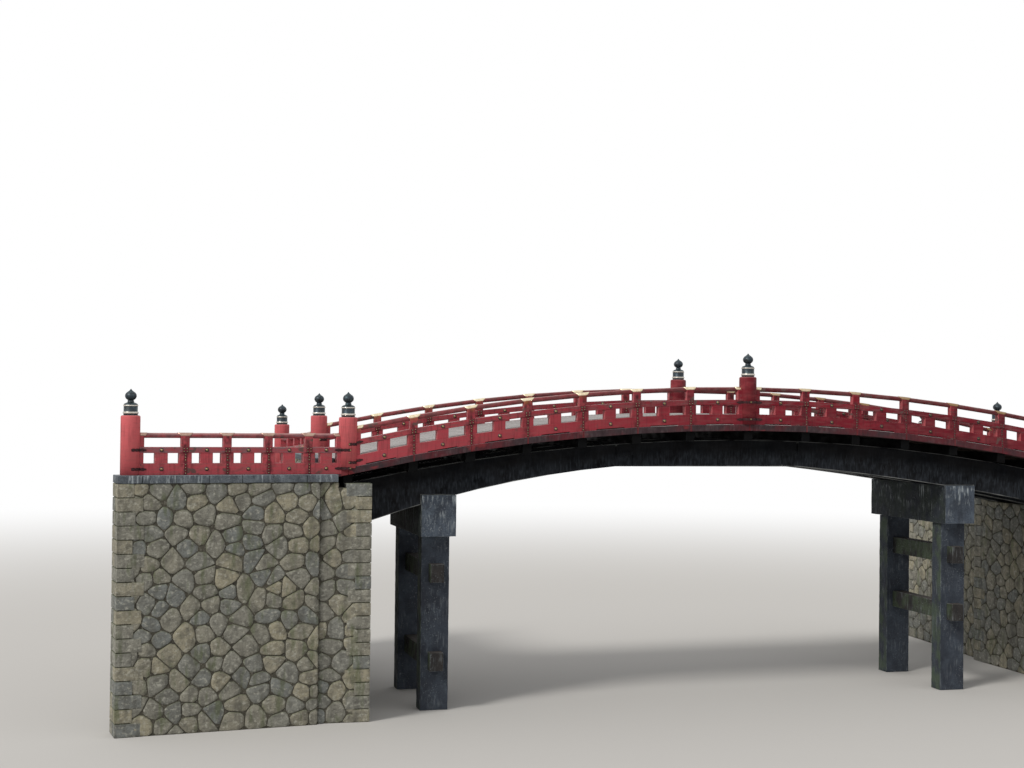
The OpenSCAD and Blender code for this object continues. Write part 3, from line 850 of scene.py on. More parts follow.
# The bearers' dark colours are painted shade under the deck
BEARER_WOOD = BareTimber(
    "damp_cypress_bearers", "raw_timber", wood="#453d36", pale="#5d544b", dark="#26211d"
)
SILL_WOOD = SilledTimber("bleached_drain_sills", "raw_timber")
DECK_WOOD = BareTimber(
    "silvered_cypress_boards", "deck_timber", Grain.ACROSS, "#827e7b", "#b0acab", "#565152"
)
# The saddles' east colour, darker towards the east, is painted shade
GILT_COPPER = Gilt("gilded_copper_saddles", "gilt", east="#86653f", east_shade_share=0.9)
RUBBED_GILT = Gilt("rubbed_gilt_wing_saddles", "gilt", "#b99c8c", "#956f66", "#724a48")
PALE_GILT = Gilt("pale_gilt_bands", "gilt", "#d6d1c8", "#b9b3a4", "#7d7969")
# The heads' east colour, darker towards the east, is painted shade
DULL_GILT = Gilt("dull_gilt_heads", "gilt", "#97835f", "#6f5f45", "#3d342a", "#4a3c30", 0.8)
CAP_BRONZE = DarkBronze("blue_black_bronze", "dark_bronze")
NAIL_BRONZE = DarkBronze("blackened_bronze_nails", "dark_bronze", "#2b2a29", "#3f2f26", "#46504e")
PLATE_BRONZE = PaintedBronze("painted_bronze_plates", "dark_bronze")
STRAP_BRONZE = PaintedBronze("rubbed_bronze_straps", "dark_bronze", "#431a20", "#231b1c", "#5d4a3d")
PIER_STONE = TooledStone("tooled_andesite_piers", "dressed_stone")
TIE_STONE = TooledStone(
    "tooled_andesite_ties", "dressed_stone", stone="#33302f", pale="#514c48", damp_and_shade="#1c1b1c", knocked=0.5
)
COPING_STONE = TooledStone(
    "tooled_andesite_copings", "dressed_stone", stone="#575e65", pale="#868d93", river_face_shade="#4a5057"
)
WALL_STONE = Rubble("split_rubble_stone", "masonry")
WALL_CORE = Hearting("lime_mortar_hearting", "masonry")


def object_of(name: str, mesh: bpy.types.Mesh) -> bpy.types.Object:
    """Places a mesh in the scene under a name.

    Args:
        name: The name.
        mesh: The mesh.

    Returns:
        The object that holds it, at the origin.
    """
    piece = bpy.data.objects.new(name, mesh)
    bpy.context.scene.collection.objects.link(piece)
    return piece


def show(name: str, mesh: bpy.types.Mesh, finish: Finish, replaced: Sequence[str] = ()) -> None:
    """Shows a mesh as a piece with its finish and its body, and hides the CAD nodes that it stands for.

    Args:
        name: Name of the piece.
        mesh: Its mesh, already in its place in the frame.
        finish: What it is made of.
        replaced: CAD nodes that it replaces.
    """
    piece = object_of(name, mesh)
    if not mesh.materials:
        mesh.materials.append(finish.material())
    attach(piece, BODY)
    if replaced:
        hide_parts(*replaced)
    triangles = sum(len(face.vertices) - 2 for face in mesh.polygons)
    log.info("%s: %d triangles in %s", name, triangles, finish.name)


def mesh_of(name: str, shape: bmesh.types.BMesh, smooth: bool = False) -> bpy.types.Mesh:
    """Turns a shape into a mesh and frees it.

    Args:
        name: Name of the mesh.
        shape: The shape.
        smooth: Whether its faces are shaded smooth.

    Returns:
        The mesh.
    """
    mesh = bpy.data.meshes.new(name)
    shape.to_mesh(mesh)
    shape.free()
    mesh.polygons.foreach_set("use_smooth", [smooth] * len(mesh.polygons))
    return mesh


class Pattern:
    """A geometry tree with named inputs, which turns a layout into a finished mesh."""

    INPUTS: dict[str, type] = {}
    KINDS = {float: "NodeSocketFloat", int: "NodeSocketInt", object: "NodeSocketObject"}

    def __init__(self, name: str) -> None:
        """Builds the tree.

        Args:
            name: Name of the tree.
        """
        self.tree = bpy.data.node_groups.new(name, "GeometryNodeTree")
        face = self.tree.interface
        face.new_socket("Geometry", in_out="INPUT", socket_type="NodeSocketGeometry")
        for label, kind in self.INPUTS.items():
            face.new_socket(label, in_out="INPUT", socket_type=self.KINDS[kind])
        face.new_socket("Finish", in_out="INPUT", socket_type="NodeSocketMaterial")
        face.new_socket("Geometry", in_out="OUTPUT", socket_type="NodeSocketGeometry")
        self.given = self.tree.nodes.new("NodeGroupInput").outputs
        self.build()

    def build(self) -> None:
        """Adds the nodes between the inputs and close()."""
        raise NotImplementedError

    def close(self, shape: Source, smooth: bool) -> None:
        """Ends the tree: real meshes, their shading and their finish.

        Args:
            shape: What the tree has made.
            smooth: Whether it is shaded smooth.
        """
        real = add(self.tree, "GeometryNodeRealizeInstances", {"Geometry": shape})
        shaded = add(self.tree, "GeometryNodeSetShadeSmooth", {"Geometry": real, "Shade Smooth": smooth})
        coat = {"Geometry": shaded, "Material": self.given["Finish"]}
        add(self.tree, "NodeGroupOutput", {0: add(self.tree, "GeometryNodeSetMaterial", coat)})

    def toned(self, shape: Source, domain: str) -> bpy.types.Node:
        """Gives each island, face or instance a random number from 0 to 1, named tone.

        Args:
            shape: What the tree has made.
            domain: Where the number is kept; on points, it is one for each island.

        Returns:
            The shape with its numbers.
        """
        ends = {RANDOM_MIN: 0.0, RANDOM_MAX: 1.0, RANDOM_SEED: self.given["Seed"]}
        if domain == "POINT":
            ends[RANDOM_ID] = add(self.tree, "GeometryNodeInputMeshIsland").outputs["Island Index"]
        tone = add(self.tree, "FunctionNodeRandomValue", ends, data_type="FLOAT").outputs[RANDOM_OUT]
        inputs = {"Geometry": shape, "Name": "tone", "Value": tone}
        return add(self.tree, "GeometryNodeStoreNamedAttribute", inputs, data_type="FLOAT", domain=domain)

    def placed(self, points: Source, way: Source, axis: str) -> bpy.types.Node:
        """Sets the piece given on each point.

        Args:
            points: The points.
            way: The direction that one axis of the piece takes there.
            axis: That axis.

        Returns:
            The pieces.
        """
        turned = add(self.tree, "FunctionNodeAlignRotationToVector", {"Vector": way}, axis=axis)
        piece = add(self.tree, "GeometryNodeObjectInfo", {"Object": self.given["Piece"]})
        inputs = {"Points": points, "Instance": piece.outputs["Geometry"], "Rotation": turned}
        return add(self.tree, "GeometryNodeInstanceOnPoints", inputs)

    def apply(self, name: str, mesh: bpy.types.Mesh, finish: Finish, **values: object) -> bpy.types.Mesh:
        """Runs the tree on a layout.

        Args:
            name: Name of the new mesh.
            mesh: The layout.
            finish: What the new mesh is made of.
            values: A value for each named input.

        Returns:
            The result as a plain mesh, with no modifier.
        """
        carrier = object_of(name + "_layout", mesh)
        modifier = carrier.modifiers.new("pattern", "NODES")
        modifier.node_group = self.tree
        values["Finish"] = finish.material()
        for item in self.tree.interface.items_tree:
            if item.in_out == "INPUT" and item.name in values:
                modifier[item.identifier] = values[item.name]
        graph = bpy.context.evaluated_depsgraph_get()
        made = bpy.data.meshes.new_from_object(carrier.evaluated_get(graph), depsgraph=graph)
        bpy.data.objects.remove(carrier)
        made.name = name
        return made


class OnPoints(Pattern):
    """One small piece set on each point, turned so that it stands up from the surface there."""

    INPUTS = {"Piece": object}

    def build(self) -> None:
        """Adds the nodes."""
        facing = add(
            self.tree, "GeometryNodeInputNamedAttribute", {"Name": "facing"}, data_type="FLOAT_VECTOR"
        )
        self.close(self.placed(self.given["Geometry"], facing.outputs["Attribute"], "Z"), True)


class Planks(Pattern):
    """Boards laid side by side along a line, each a little out of true with the next."""

    INPUTS = {"Pitch": float, "Unevenness": float, "Seed": int, "Piece": object}

    def build(self) -> None:
        """Adds the nodes."""
        line = add(self.tree, "GeometryNodeMeshToCurve", {"Mesh": self.given["Geometry"]})
        length = {"Curve": line, "Length": self.given["Pitch"]}
        spaced = add(self.tree, "GeometryNodeResampleCurve", length, mode="LENGTH")
        low = add(self.tree, "ShaderNodeMath", {0: self.given["Unevenness"], 1: -1.0}, operation="MULTIPLY")
        ends = {RANDOM_MIN: low, RANDOM_MAX: 0.0, RANDOM_SEED: self.given["Seed"]}
        drop = add(self.tree, "FunctionNodeRandomValue", ends, data_type="FLOAT").outputs[RANDOM_OUT]
        offset = add(self.tree, "ShaderNodeCombineXYZ", {"Z": drop})
        settled = add(self.tree, "GeometryNodeSetPosition", {"Geometry": spaced, "Offset": offset})
        boards = self.placed(settled, add(self.tree, "GeometryNodeInputTangent"), "X")
        self.close(self.toned(boards, "INSTANCE"), False)


class RoundBars(Pattern):
    """A round bar along each edge of a layout."""

    INPUTS = {"Radius": float, "Sides": int}

    def build(self) -> None:
        """Adds the nodes."""
        line = add(self.tree, "GeometryNodeMeshToCurve", {"Mesh": self.given["Geometry"]})
        size = {"Resolution": self.given["Sides"], "Radius": self.given["Radius"]}
        ring = add(self.tree, "GeometryNodeCurvePrimitiveCircle", size)
        inputs = {"Curve": line, "Profile Curve": ring, "Fill Caps": True}
        self.close(add(self.tree, "GeometryNodeCurveToMesh", inputs), True)


class SplitStones(Pattern):
    """Wall stones raised from flat cells: split sides, a knocked-back arris, and a swelling face."""

    INPUTS = {"Least stand": float, "Most stand": float, "Swell": float, "Seed": int}
    SIDES_DRAW_IN = 0.96
    # Share of the swelling in each step of the face, and size of the step's top beside its foot
    STEPS = ((0.6, 0.93), (0.3, 0.84), (0.1, 0.7))
    WELD = 0.0005

    def build(self) -> None:
        """Adds the nodes."""
        cells = self.toned(self.given["Geometry"], "FACE")
        ends = {
            RANDOM_MIN: self.given["Least stand"],
            RANDOM_MAX: self.given["Most stand"],
            RANDOM_SEED: self.given["Seed"],
        }
        stand = add(self.tree, "FunctionNodeRandomValue", ends, data_type="FLOAT").outputs[RANDOM_OUT]
        shape, tops = self.raised(cells, {}, stand, self.SIDES_DRAW_IN)
        for share, shrink in self.STEPS:
            part = {0: self.given["Swell"], 1: share}
            rise = add(self.tree, "ShaderNodeMath", part, operation="MULTIPLY")
            shape, tops = self.raised(shape, {"Selection": tops}, rise, shrink)
        back = add(self.tree, "GeometryNodeFlipFaces", {"Mesh": cells})
        whole = add(self.tree, "GeometryNodeJoinGeometry", {"Geometry": shape})
        self.tree.links.new(back.outputs[0], whole.inputs[0])
        welded = {"Geometry": whole, "Distance": self.WELD}
        self.close(add(self.tree, "GeometryNodeMergeByDistance", welded), True)

    def raised(
        self, shape: Source, faces: dict[str, Source], height: Source, shrink: float
    ) -> tuple[bpy.types.Node, bpy.types.NodeSocket]:
        """Raises each face by itself and draws in its new top.

        Args:
            shape: The mesh.
            faces: Selection of the faces that are raised, or nothing for all.
            height: How far they rise.
            shrink: Size of the new top beside that of its foot.

        Returns:
            The new mesh and the selection of its tops.
        """
        inputs = {"Mesh": shape, "Offset Scale": height, **faces}
        up = add(self.tree, "GeometryNodeExtrudeMesh", inputs, mode="FACES").outputs
        scaled = {"Geometry": up["Mesh"], "Selection": up["Top"], "Scale": shrink}
        return add(self.tree, "GeometryNodeScaleElements", scaled, domain="FACE"), up["Top"]


class HewnBlocks(Pattern):
    """Dressed blocks worn back unevenly, never out past their true faces."""

    INPUTS = {"Hollow": float, "Depth": float, "Seed": int}
    DETAIL = 4.0
    # Level of the noise where the face is left as it was
    UNWORN = 0.8

    def build(self) -> None:
        """Adds the nodes."""
        blocks = self.toned(self.given["Geometry"], "POINT")
        place = add(self.tree, "GeometryNodeInputPosition")
        size = add(self.tree, "ShaderNodeMath", {0: 1.0, 1: self.given["Hollow"]}, operation="DIVIDE")
        noise = add(self.tree, "ShaderNodeTexNoise", {"Vector": place, "Scale": size, "Detail": self.DETAIL})
        inward = add(self.tree, "ShaderNodeMath", {0: noise, 1: self.UNWORN}, operation="SUBTRACT")
        clamped = add(self.tree, "ShaderNodeMath", {0: inward, 1: 0.0}, operation="MINIMUM")
        depth = add(self.tree, "ShaderNodeMath", {0: clamped, 1: self.given["Depth"]}, operation="MULTIPLY")
        normal = add(self.tree, "GeometryNodeInputNormal")
        offset = add(self.tree, "ShaderNodeVectorMath", {"Vector": normal, "Scale": depth}, operation="SCALE")
        self.close(add(self.tree, "GeometryNodeSetPosition", {"Geometry": blocks, "Offset": offset}), True)


class Joinery:
    """Timbers gathered in one mesh, with every arris eased."""

    SHARP = math.radians(20)
    ROUNDNESS = 0.6
    UNJOINTED = 1.0

    def __init__(self) -> None:
        """Starts with no timber."""
        self.shape = bmesh.new()

    def prism(self, outline: Sequence[Vector], depth: Vector) -> None:
        """Adds a solid with a flat outline and a straight depth.

        Args:
            outline: Corners of its front.
            depth: Way from the front to the back.
        """
        front = [self.shape.verts.new(point) for point in outline]
        back = [self.shape.verts.new(point + depth) for point in outline]
        self.shape.faces.new(front)
        self.shape.faces.new(reversed(back))
        for i, vertex in enumerate(front):
            j = (i + 1) % len(front)
            self.shape.faces.new((vertex, back[i], back[j], front[j]))

    def bar(self, run: Run, ends: tuple[float, float], drops: tuple[float, float], half: float) -> None:
        """Adds a bar along a run.

        Args:
            run: The run.
            ends: Where it starts and ends along the run.
            drops: Drop of its top and of its underside.
            half: Half of its depth across the run.
        """
        upper, lower = (run.edge(*ends, drop, (sum(ends) / 2,)) for drop in drops)
        shift = run.across * half
        self.prism([point - shift for point in (*upper, *reversed(lower))], 2 * shift)

    def mesh(self, name: str, arris: float, run: Run | None = None) -> bpy.types.Mesh:
        """Eases the arrises and ends the shape.

        Args:
            name: Name of the mesh.
            arris: Width of the eased edge.
            run: The run that the timbers follow, which gives each point its distance from a joint.

        Returns:
            The mesh, with that distance as the attribute from_joint and its eased edges as arris.
        """
        worn = self.shape.faces.layers.float.new("arris")
        layer = self.shape.verts.layers.float.new("from_joint")
        bmesh.ops.recalc_face_normals(self.shape, faces=self.shape.faces)
        sharp = [edge for edge in self.shape.edges if edge.calc_face_angle(0.0) > self.SHARP]
        eased = bmesh.ops.bevel(
            self.shape, geom=sharp, offset=arris, segments=2, profile=self.ROUNDNESS, affect="EDGES",
            clamp_overlap=True,
        )
        for face in eased["faces"]:
            face[worn] = 1.0
        for vertex in self.shape.verts:
            vertex[layer] = run.from_joint(vertex.co) if run else self.UNJOINTED
        return mesh_of(name, self.shape)

    def show(
        self, name: str, arris: float, finish: Finish, replaced: Sequence[str] = (), run: Run | None = None
    ) -> None:
        """Eases the arrises and shows the timbers as one piece.

        Args:
            name: Name of the piece.
            arris: Width of the eased edge.
            finish: What the timbers are made of.
            replaced: CAD nodes that they replace.
            run: The run that they follow.
        """
        show(name, self.mesh(name, arris, run), finish, replaced)


def lathe(shape: bmesh.types.BMesh, profile: Sequence[tuple[float, float]], foot: Vector, sides: int) -> None:
    """Adds a turned solid, closed at its two poles.

    Args:
        shape: What it is added to.
        profile: Radius and height of each ring, from the foot up, with no radius of 0.
        foot: Middle of its foot.
        sides: How many sides its rings have.
    """
    turns = [math.tau * i / sides for i in range(sides)]
    rings = []
    for radius, height in profile:
        points = [Vector((radius * math.cos(turn), radius * math.sin(turn), height)) for turn in turns]
        rings.append([shape.verts.new(foot + point) for point in points])
    for low, high in zip(rings, rings[1:]):
        for (a, b), (c, d) in zip(pairs(low), pairs(high)):
            shape.faces.new((a, b, d, c))
    bottom, top = (shape.verts.new(foot + UP * profile[end][1]) for end in (0, -1))
    for a, b in pairs(rings[0]):
        shape.faces.new((b, a, bottom))
    for a, b in pairs(rings[-1]):
        shape.faces.new((a, b, top))


@dataclass(frozen=True)
class RailSection:
    """Section of the railing, as drops under the top of its handrail and widths."""

    handrail_r: float = 0.08
    handrail_sides: int = 32
    middle: tuple[float, float] = (0.439, 0.624)
    lower: tuple[float, float] = (0.945, 1.302)
    middle_half: float = 0.15
    lower_half: float = 0.16
    post_top: float = 0.095
    post_half: tuple[float, float] = (0.13, 0.12)
    half_post: float = 0.11
    strut_half: tuple[float, float] = (0.195, 0.14)
    round_r: float = 0.3
    beside_round: float = 0.39
    joint: float = 0.01
    slit: tuple[float, float] = (1.0, 0.035)
    sill_insets: tuple[float, float] = (0.01, 0.012)
    sill_heights: tuple[float, float] = (0.03, 0.006)
    sill_clear: float = 0.002
    half_saddle: tuple[float, float] = (0.515, 0.46)
    saddle_in_post: float = 0.02
    arris: float = 0.008


SECTION = RailSection()


@dataclass
class Saddle:
    """Gilt sheet folded over a joint of the handrail, long on top and short at its sides."""

    run: Run
    top_half: float = 0.25
    low_half: float = 0.145
    radius: float = 0.092
    thickness: float = 0.014
    wrap: float = math.radians(100)
    flare: float = 1.3
    around: int = 12
    lengthways: int = 6

    def half_at(self, turn: float) -> float:
        """Half of the sheet's length at a turn from its top, 0, to its lower edge, 1."""
        return self.top_half + (self.low_half - self.top_half) * turn**self.flare

    def add_to(self, shape: bmesh.types.BMesh, s: float, low_s: float, high_s: float) -> None:
        """Adds one saddle as a closed sheet.

        Args:
            shape: What it is added to.
            s: Where it lies along the run.
            low_s: The run is left bare before this distance.
            high_s: The run is left bare past this distance.
        """
        grid = {}
        for layer, radius in enumerate((self.radius, self.radius - self.thickness)):
            for i in range(self.around + 1):
                turn = 2 * i / self.around - 1
                angle = turn * self.wrap
                half = self.half_at(abs(turn))
                start, end = max(s - half, low_s), min(s + half, high_s)
                drop = SECTION.handrail_r - radius * math.cos(angle)
                for j in range(self.lengthways + 1):
                    d = start + (end - start) * j / self.lengthways
                    grid[layer, i, j] = shape.verts.new(self.run.at(d, radius * math.sin(angle), drop))
        for i in range(self.around):
            for j in range(self.lengthways):
                corners = ((i, j), (i, j + 1), (i + 1, j + 1), (i + 1, j))
                shape.faces.new([grid[0, *corner] for corner in corners])
                shape.faces.new([grid[1, *corner] for corner in reversed(corners)])
        border = [(i, 0) for i in range(self.around)]
        border += [(self.around, j) for j in range(self.lengthways)]
        border += [(i, self.lengthways) for i in range(self.around, 0, -1)]
        border += [(0, j) for j in range(self.lengthways, 0, -1)]
        for a, b in pairs(border):
            shape.faces.new((grid[0, *a], grid[0, *b], grid[1, *b], grid[1, *a]))


@dataclass
class Railing:
    """One railing: its bars, posts and struts, its handrail and the saddles on it."""

    run: Run
    rounds: tuple[float, ...]
    section: RailSection = SECTION

    @property
    def small_posts(self) -> list[float]:
        """Places of the posts that aren't round."""
        return [mark for mark in self.run.marks if mark not in self.rounds]

    def spans(self, gap: float = 0.0) -> list[tuple[float, float]]:
        """The two ends of each bay, from post to post, less a gap at each."""
        return [(start + gap, end - gap) for start, end in zip(self.run.marks, self.run.marks[1:])]

    def beside_rounds(self, inner: float, outer: float) -> list[tuple[float, float]]:
        """Finds the ends of the timbers that stand against the round posts.

        Args:
            inner: Distance of their inner end from the middle of the post.
            outer: Distance of their outer end.

        Returns:
            Where each timber starts and ends along the run.
        """
        places = []
        for mark in self.rounds:
            if mark > self.run.marks[0]:
                places.append((mark - outer, mark - inner))
            if mark < self.run.marks[-1]:
                places.append((mark + inner, mark + outer))
        return places

    def bay_middles(self) -> list[float]:
        """Finds the middle of the open part of each bay, between the struts at its posts.

        Returns:
            The middles.
        """
        widths = {mark: self.section.strut_half[0] for mark in self.run.marks}
        widths.update({mark: self.section.beside_round for mark in self.rounds})
        return [((start + widths[start]) + (end - widths[end])) / 2 for start, end in self.spans()]

    def rail(self, timber: Joinery, drops: tuple[float, float], half: float) -> None:
        """Adds one bar for each bay, with an open joint at each post.

        Args:
            timber: What the bars are added to.
            drops: Drop of their top and of their underside.
            half: Half of their depth.
        """
        for ends in self.spans(self.section.joint / 2):
            timber.bar(self.run, ends, drops, half)

    def slit_rail(self, timber: Joinery, over: float) -> None:
        """Adds the lower rail of the arch, with a drain slit under each bay.

        Args:
            timber: What the bars are added to.
            over: Length by which the rail runs on past the end posts.
        """
        c, run = self.section, self.run
        first, last = run.marks[0], run.marks[-1]
        gap = c.joint / 2
        timber.bar(run, (first - over, first - gap), c.lower, c.lower_half)
        timber.bar(run, (last + gap, last + over), c.lower, c.lower_half)
        shift = run.across * c.lower_half
        for start, end in self.spans(gap):
            middle = (start + end) / 2
            low, high = middle - c.slit[0] / 2, middle + c.slit[0] / 2
            roof, foot = c.lower[1] - c.slit[1], c.lower[1]
            outline = run.edge(start, end, c.lower[0], (middle,))
            corners = ((end, foot), (high, foot), (high, roof), (middle, roof), (low, roof), (low, foot))
            outline += [run.at(s, 0.0, drop) for s, drop in (*corners, (start, foot))]
            timber.prism([point - shift for point in outline], 2 * shift)

    def drain_sills(self, timber: Joinery, outward: int) -> None:
        """Adds a sill in each drain slit, which slopes down towards the outside of the bridge.

        Args:
            timber: What the sills are added to.
            outward: Way across the run that looks off the bridge.
        """
        c, run = self.section, self.run
        foot = c.lower[1]
        inner, outer = (outward * way * (c.lower_half - gap) for way, gap in zip((-1, 1), c.sill_insets))
        tops = [foot - height for height in c.sill_heights]
        corners = ((inner, foot), (inner, tops[0]), (outer, tops[1]), (outer, foot))
        for start, end in self.spans():
            middle = (start + end) / 2
            low, high = middle - c.slit[0] / 2 + c.sill_clear, middle + c.slit[0] / 2 - c.sill_clear
            outline = [run.at(low, t, drop) for t, drop in corners]
            timber.prism(outline, run.at(high, 0.0, 0.0) - run.at(low, 0.0, 0.0))

    def posts(self, timber: Joinery) -> None:
        """Adds the small posts over the middle rail, and the half posts beside the round ones.

        Args:
            timber: What they are added to.
        """
        c = self.section
        width, depth = c.post_half
        places = [(mark - width, mark + width) for mark in self.small_posts]
        for ends in places + self.beside_rounds(c.round_r / 2, c.round_r + c.half_post):
            timber.bar(self.run, ends, (c.post_top, c.middle[0]), depth)

    def struts(self, timber: Joinery) -> None:
        """Adds the struts between the middle and the lower rail.

        Args:
            timber: What they are added to.
        """
        c = self.section
        half, depth = c.strut_half
        places = [(mark - half, mark + half) for mark in self.small_posts]
        places += self.beside_rounds(half, c.beside_round)
        places += [(middle - half, middle + half) for middle in self.bay_middles()]
        for ends in places:
            timber.bar(self.run, ends, (c.middle[1], c.lower[0]), depth)

    def handrail(self, name: str, finish: Finish, replaced: Sequence[str] = ()) -> None:
        """Makes the round handrail, one length for each bay.

        Args:
            name: Name of the piece.
            finish: What it is made of.
            replaced: CAD nodes that it replaces.
        """
        radius, points = self.section.handrail_r, []
        for ends in self.spans(self.section.joint / 2):
            points += [self.run.at(s, 0.0, radius) for s in ends]
        lines = bpy.data.meshes.new(name + "_lines")
        lines.from_pydata(points, [(i, i + 1) for i in range(0, len(points), 2)], [])
        bars = RoundBars(name + "_pattern")
        mesh = bars.apply(name, lines, finish, Radius=radius, Sides=self.section.handrail_sides)
        mesh.set_sharp_from_angle(angle=math.radians(40))
        distances = mesh.attributes.new("from_joint", "FLOAT", "POINT")
        distances.data.foreach_set("value", [self.run.from_joint(v.co) for v in mesh.vertices])
        show(name, mesh, finish, replaced)

    def saddles(self, name: str, finish: Finish, replaced: Sequence[str] = ()) -> None:
        """Makes the saddles, whole at small posts and half beside round ones.

        Args:
            name: Name of the piece.
            finish: What they are made of.
            replaced: CAD nodes that they replace.
        """
        shape = bmesh.new()
        first, last = self.run.marks[0], self.run.marks[-1]
        edge = self.section.round_r - self.section.saddle_in_post
        whole, half = Saddle(self.run), Saddle(self.run, *self.section.half_saddle)
        for mark in self.run.marks:
            if mark not in self.rounds:
                whole.add_to(shape, mark, first, last)
                continue
            if mark > first:
                half.add_to(shape, mark, first, mark - edge)
            if mark < last:
                half.add_to(shape, mark, mark + edge, last)
        bmesh.ops.recalc_face_normals(shape, faces=shape.faces)
        show(name, mesh_of(name, shape, True), finish, replaced)


@dataclass(frozen=True)
class Head:
    """A domed head, as the name of all of its kind, its size and its finish."""

    name: str
    radius: float
    height: float
    sides: int
    steps: int
    finish: Finish
    sunk: float = 0.002
    crown: float = 0.06

    def model(self) -> bpy.types.Object:
        """Makes one head that stands on its back, kept out of the scene.

        Returns:
            The head.
        """
        shape = bmesh.new()
        profile = [(self.radius, -self.sunk)]
        for i in range(self.steps):
            turn = math.pi / 2 * i / self.steps
            profile.append((self.radius * math.cos(turn), self.height * math.sin(turn)))
        profile.append((self.radius * self.crown, self.height))
        lathe(shape, profile, Vector(), self.sides)
        return bpy.data.objects.new(self.name + "_model", mesh_of(self.name + "_model", shape, True))


STUDS = (
    # Each stud's dark seat is partly painted shade round its head
    Head("stud_bases", 0.028, 0.007, 8, 1, CAP_BRONZE),
    Head("stud_heads", 0.019, 0.019, 8, 3, DULL_GILT),
)
BOSSES = (
    Head("boss_bases", 0.066, 0.016, 16, 2, CAP_BRONZE),
    Head("boss_heads", 0.046, 0.046, 16, 5, DULL_GILT),
)
STRAP_BOSSES = (Head("strap_bosses", 0.028, 0.024, 12, 3, DULL_GILT),)
STRAP_NAILS = (Head("strap_nail_heads", 0.023, 0.018, 10, 3, NAIL_BRONZE),)


@dataclass
class Fittings:
    """Studs, bosses and plates gathered from every railing, then set out by geometry trees."""

    plate: float = 0.006
    plate_sunk: float = 0.004
    plate_inset: float = 0.003
    plate_arris: float = 0.0015
    seam_half: float = 0.048
    middle_half: float = 0.1
    foot_half: float = 0.17
    foot_drops: tuple[float, float] = (-0.02, 0.004)
    middle_stud_places: tuple[float, float] = (-0.05, 0.05)
    middle_stud_drops: tuple[float, float] = (0.49, 0.575)
    # Drop of the first stud under the timber's top, pitch of the studs, and how many there are
    strut_studs: tuple[float, float, int] = (0.05, 0.085, 3)
    lower_studs: tuple[float, float, int] = (0.045, 0.087, 4)
    places: dict[tuple[Head, ...], list[tuple[Vector, Vector]]] = field(
        default_factory=lambda: {heads: [] for heads in (STUDS, BOSSES, STRAP_BOSSES, STRAP_NAILS)}
    )
    plates: Joinery = field(default_factory=Joinery)

    def sheet(
        self, run: Run, mark: float, half: float, drops: tuple[float, float], face: float, way: int
    ) -> None:
        """Adds a thin plate to a face of the railing.

        Args:
            run: The run.
            mark: Where the plate's middle lies along the run.
            half: Half of its length.
            drops: Drop of its top and of its underside.
            face: Distance of the timber's face across the run.
            way: 1 where the face looks along the run's across direction, else -1.
        """
        upper = run.edge(mark - half, mark + half, drops[0] + self.plate_inset)
        lower = run.edge(mark - half, mark + half, drops[1] - self.plate_inset)
        back = run.across * (face - way * self.plate_sunk)
        outline = [point + back for point in (*upper, *reversed(lower))]
        self.plates.prism(outline, run.across * way * (self.plate + self.plate_sunk))

    def at_seam(self, railing: Railing, mark: float) -> None:
        """Covers the joint at one small post with plates and studs, on both faces of the railing.

        Args:
            railing: The railing.
            mark: Where the post stands.
        """
        c, run = railing.section, railing.run
        under, lower = c.middle[1], c.lower[0]
        foot = (under + self.foot_drops[0], under + self.foot_drops[1])
        for way in (-1, 1):
            out = run.across * way
            middle_face, lower_face = c.middle_half * way, c.lower_half * way
            strut_face = c.strut_half[1] * way
            self.sheet(run, mark, self.middle_half, c.middle, middle_face, way)
            self.sheet(run, mark, self.seam_half, c.lower, lower_face, way)
            self.sheet(run, mark, self.seam_half, (under, lower), strut_face, way)
            self.sheet(run, mark, self.foot_half, foot, middle_face, way)
            studs = [
                (s, drop, middle_face) for s in self.middle_stud_places for drop in self.middle_stud_drops
            ]
            for start, (gap, pitch, count), face in (
                (under, self.strut_studs, strut_face),
                (lower, self.lower_studs, lower_face),
            ):
                studs += [(0.0, start + gap + pitch * i, face) for i in range(count)]
            for s, drop, face in studs:
                self.places[STUDS].append((run.at(mark + s, face, drop) + out * self.plate, out))

    def at_bays(self, railing: Railing) -> None:
        """Sets a boss on both rails at the strut between each bay's two windows, on both faces.

        Args:
            railing: The railing.
        """
        c, run = railing.section, railing.run
        for middle in railing.bay_middles():
            for way in (-1, 1):
                for half, drops in ((c.middle_half, c.middle), (c.lower_half, c.lower)):
                    point = run.at(middle, half * way, sum(drops) / 2)
                    self.places[BOSSES].append((point, run.across * way))

    def fit(self, railing: Railing) -> None:
        """Sets out the metalwork of a railing.

        Args:
            railing: The railing.
        """
        for mark in railing.small_posts:
            self.at_seam(railing, mark)
        self.at_bays(railing)

    def build(self) -> None:
        """Makes the pieces."""
        pattern = OnPoints("heads_on_points")
        for heads, places in self.places.items():
            layout = bpy.data.meshes.new(heads[0].name + "_layout")
            layout.from_pydata([point for point, _ in places], [], [])
            facing = layout.attributes.new("facing", "FLOAT_VECTOR", "POINT")
            facing.data.foreach_set("vector", [value for _, way in places for value in way])
            for head in heads:
                mesh = pattern.apply(head.name, layout, head.finish, Piece=head.model())
                show(head.name, mesh, head.finish)
        self.plates.show("joint_plates", self.plate_arris, PLATE_BRONZE)


@dataclass(frozen=True)
class HalfBand:
    """Half of a band: from the front of a round post, along a run, on to one face of a rail."""

    run: Run
    mark: float
    toward: int
    way: int
    half: float
    drop: float


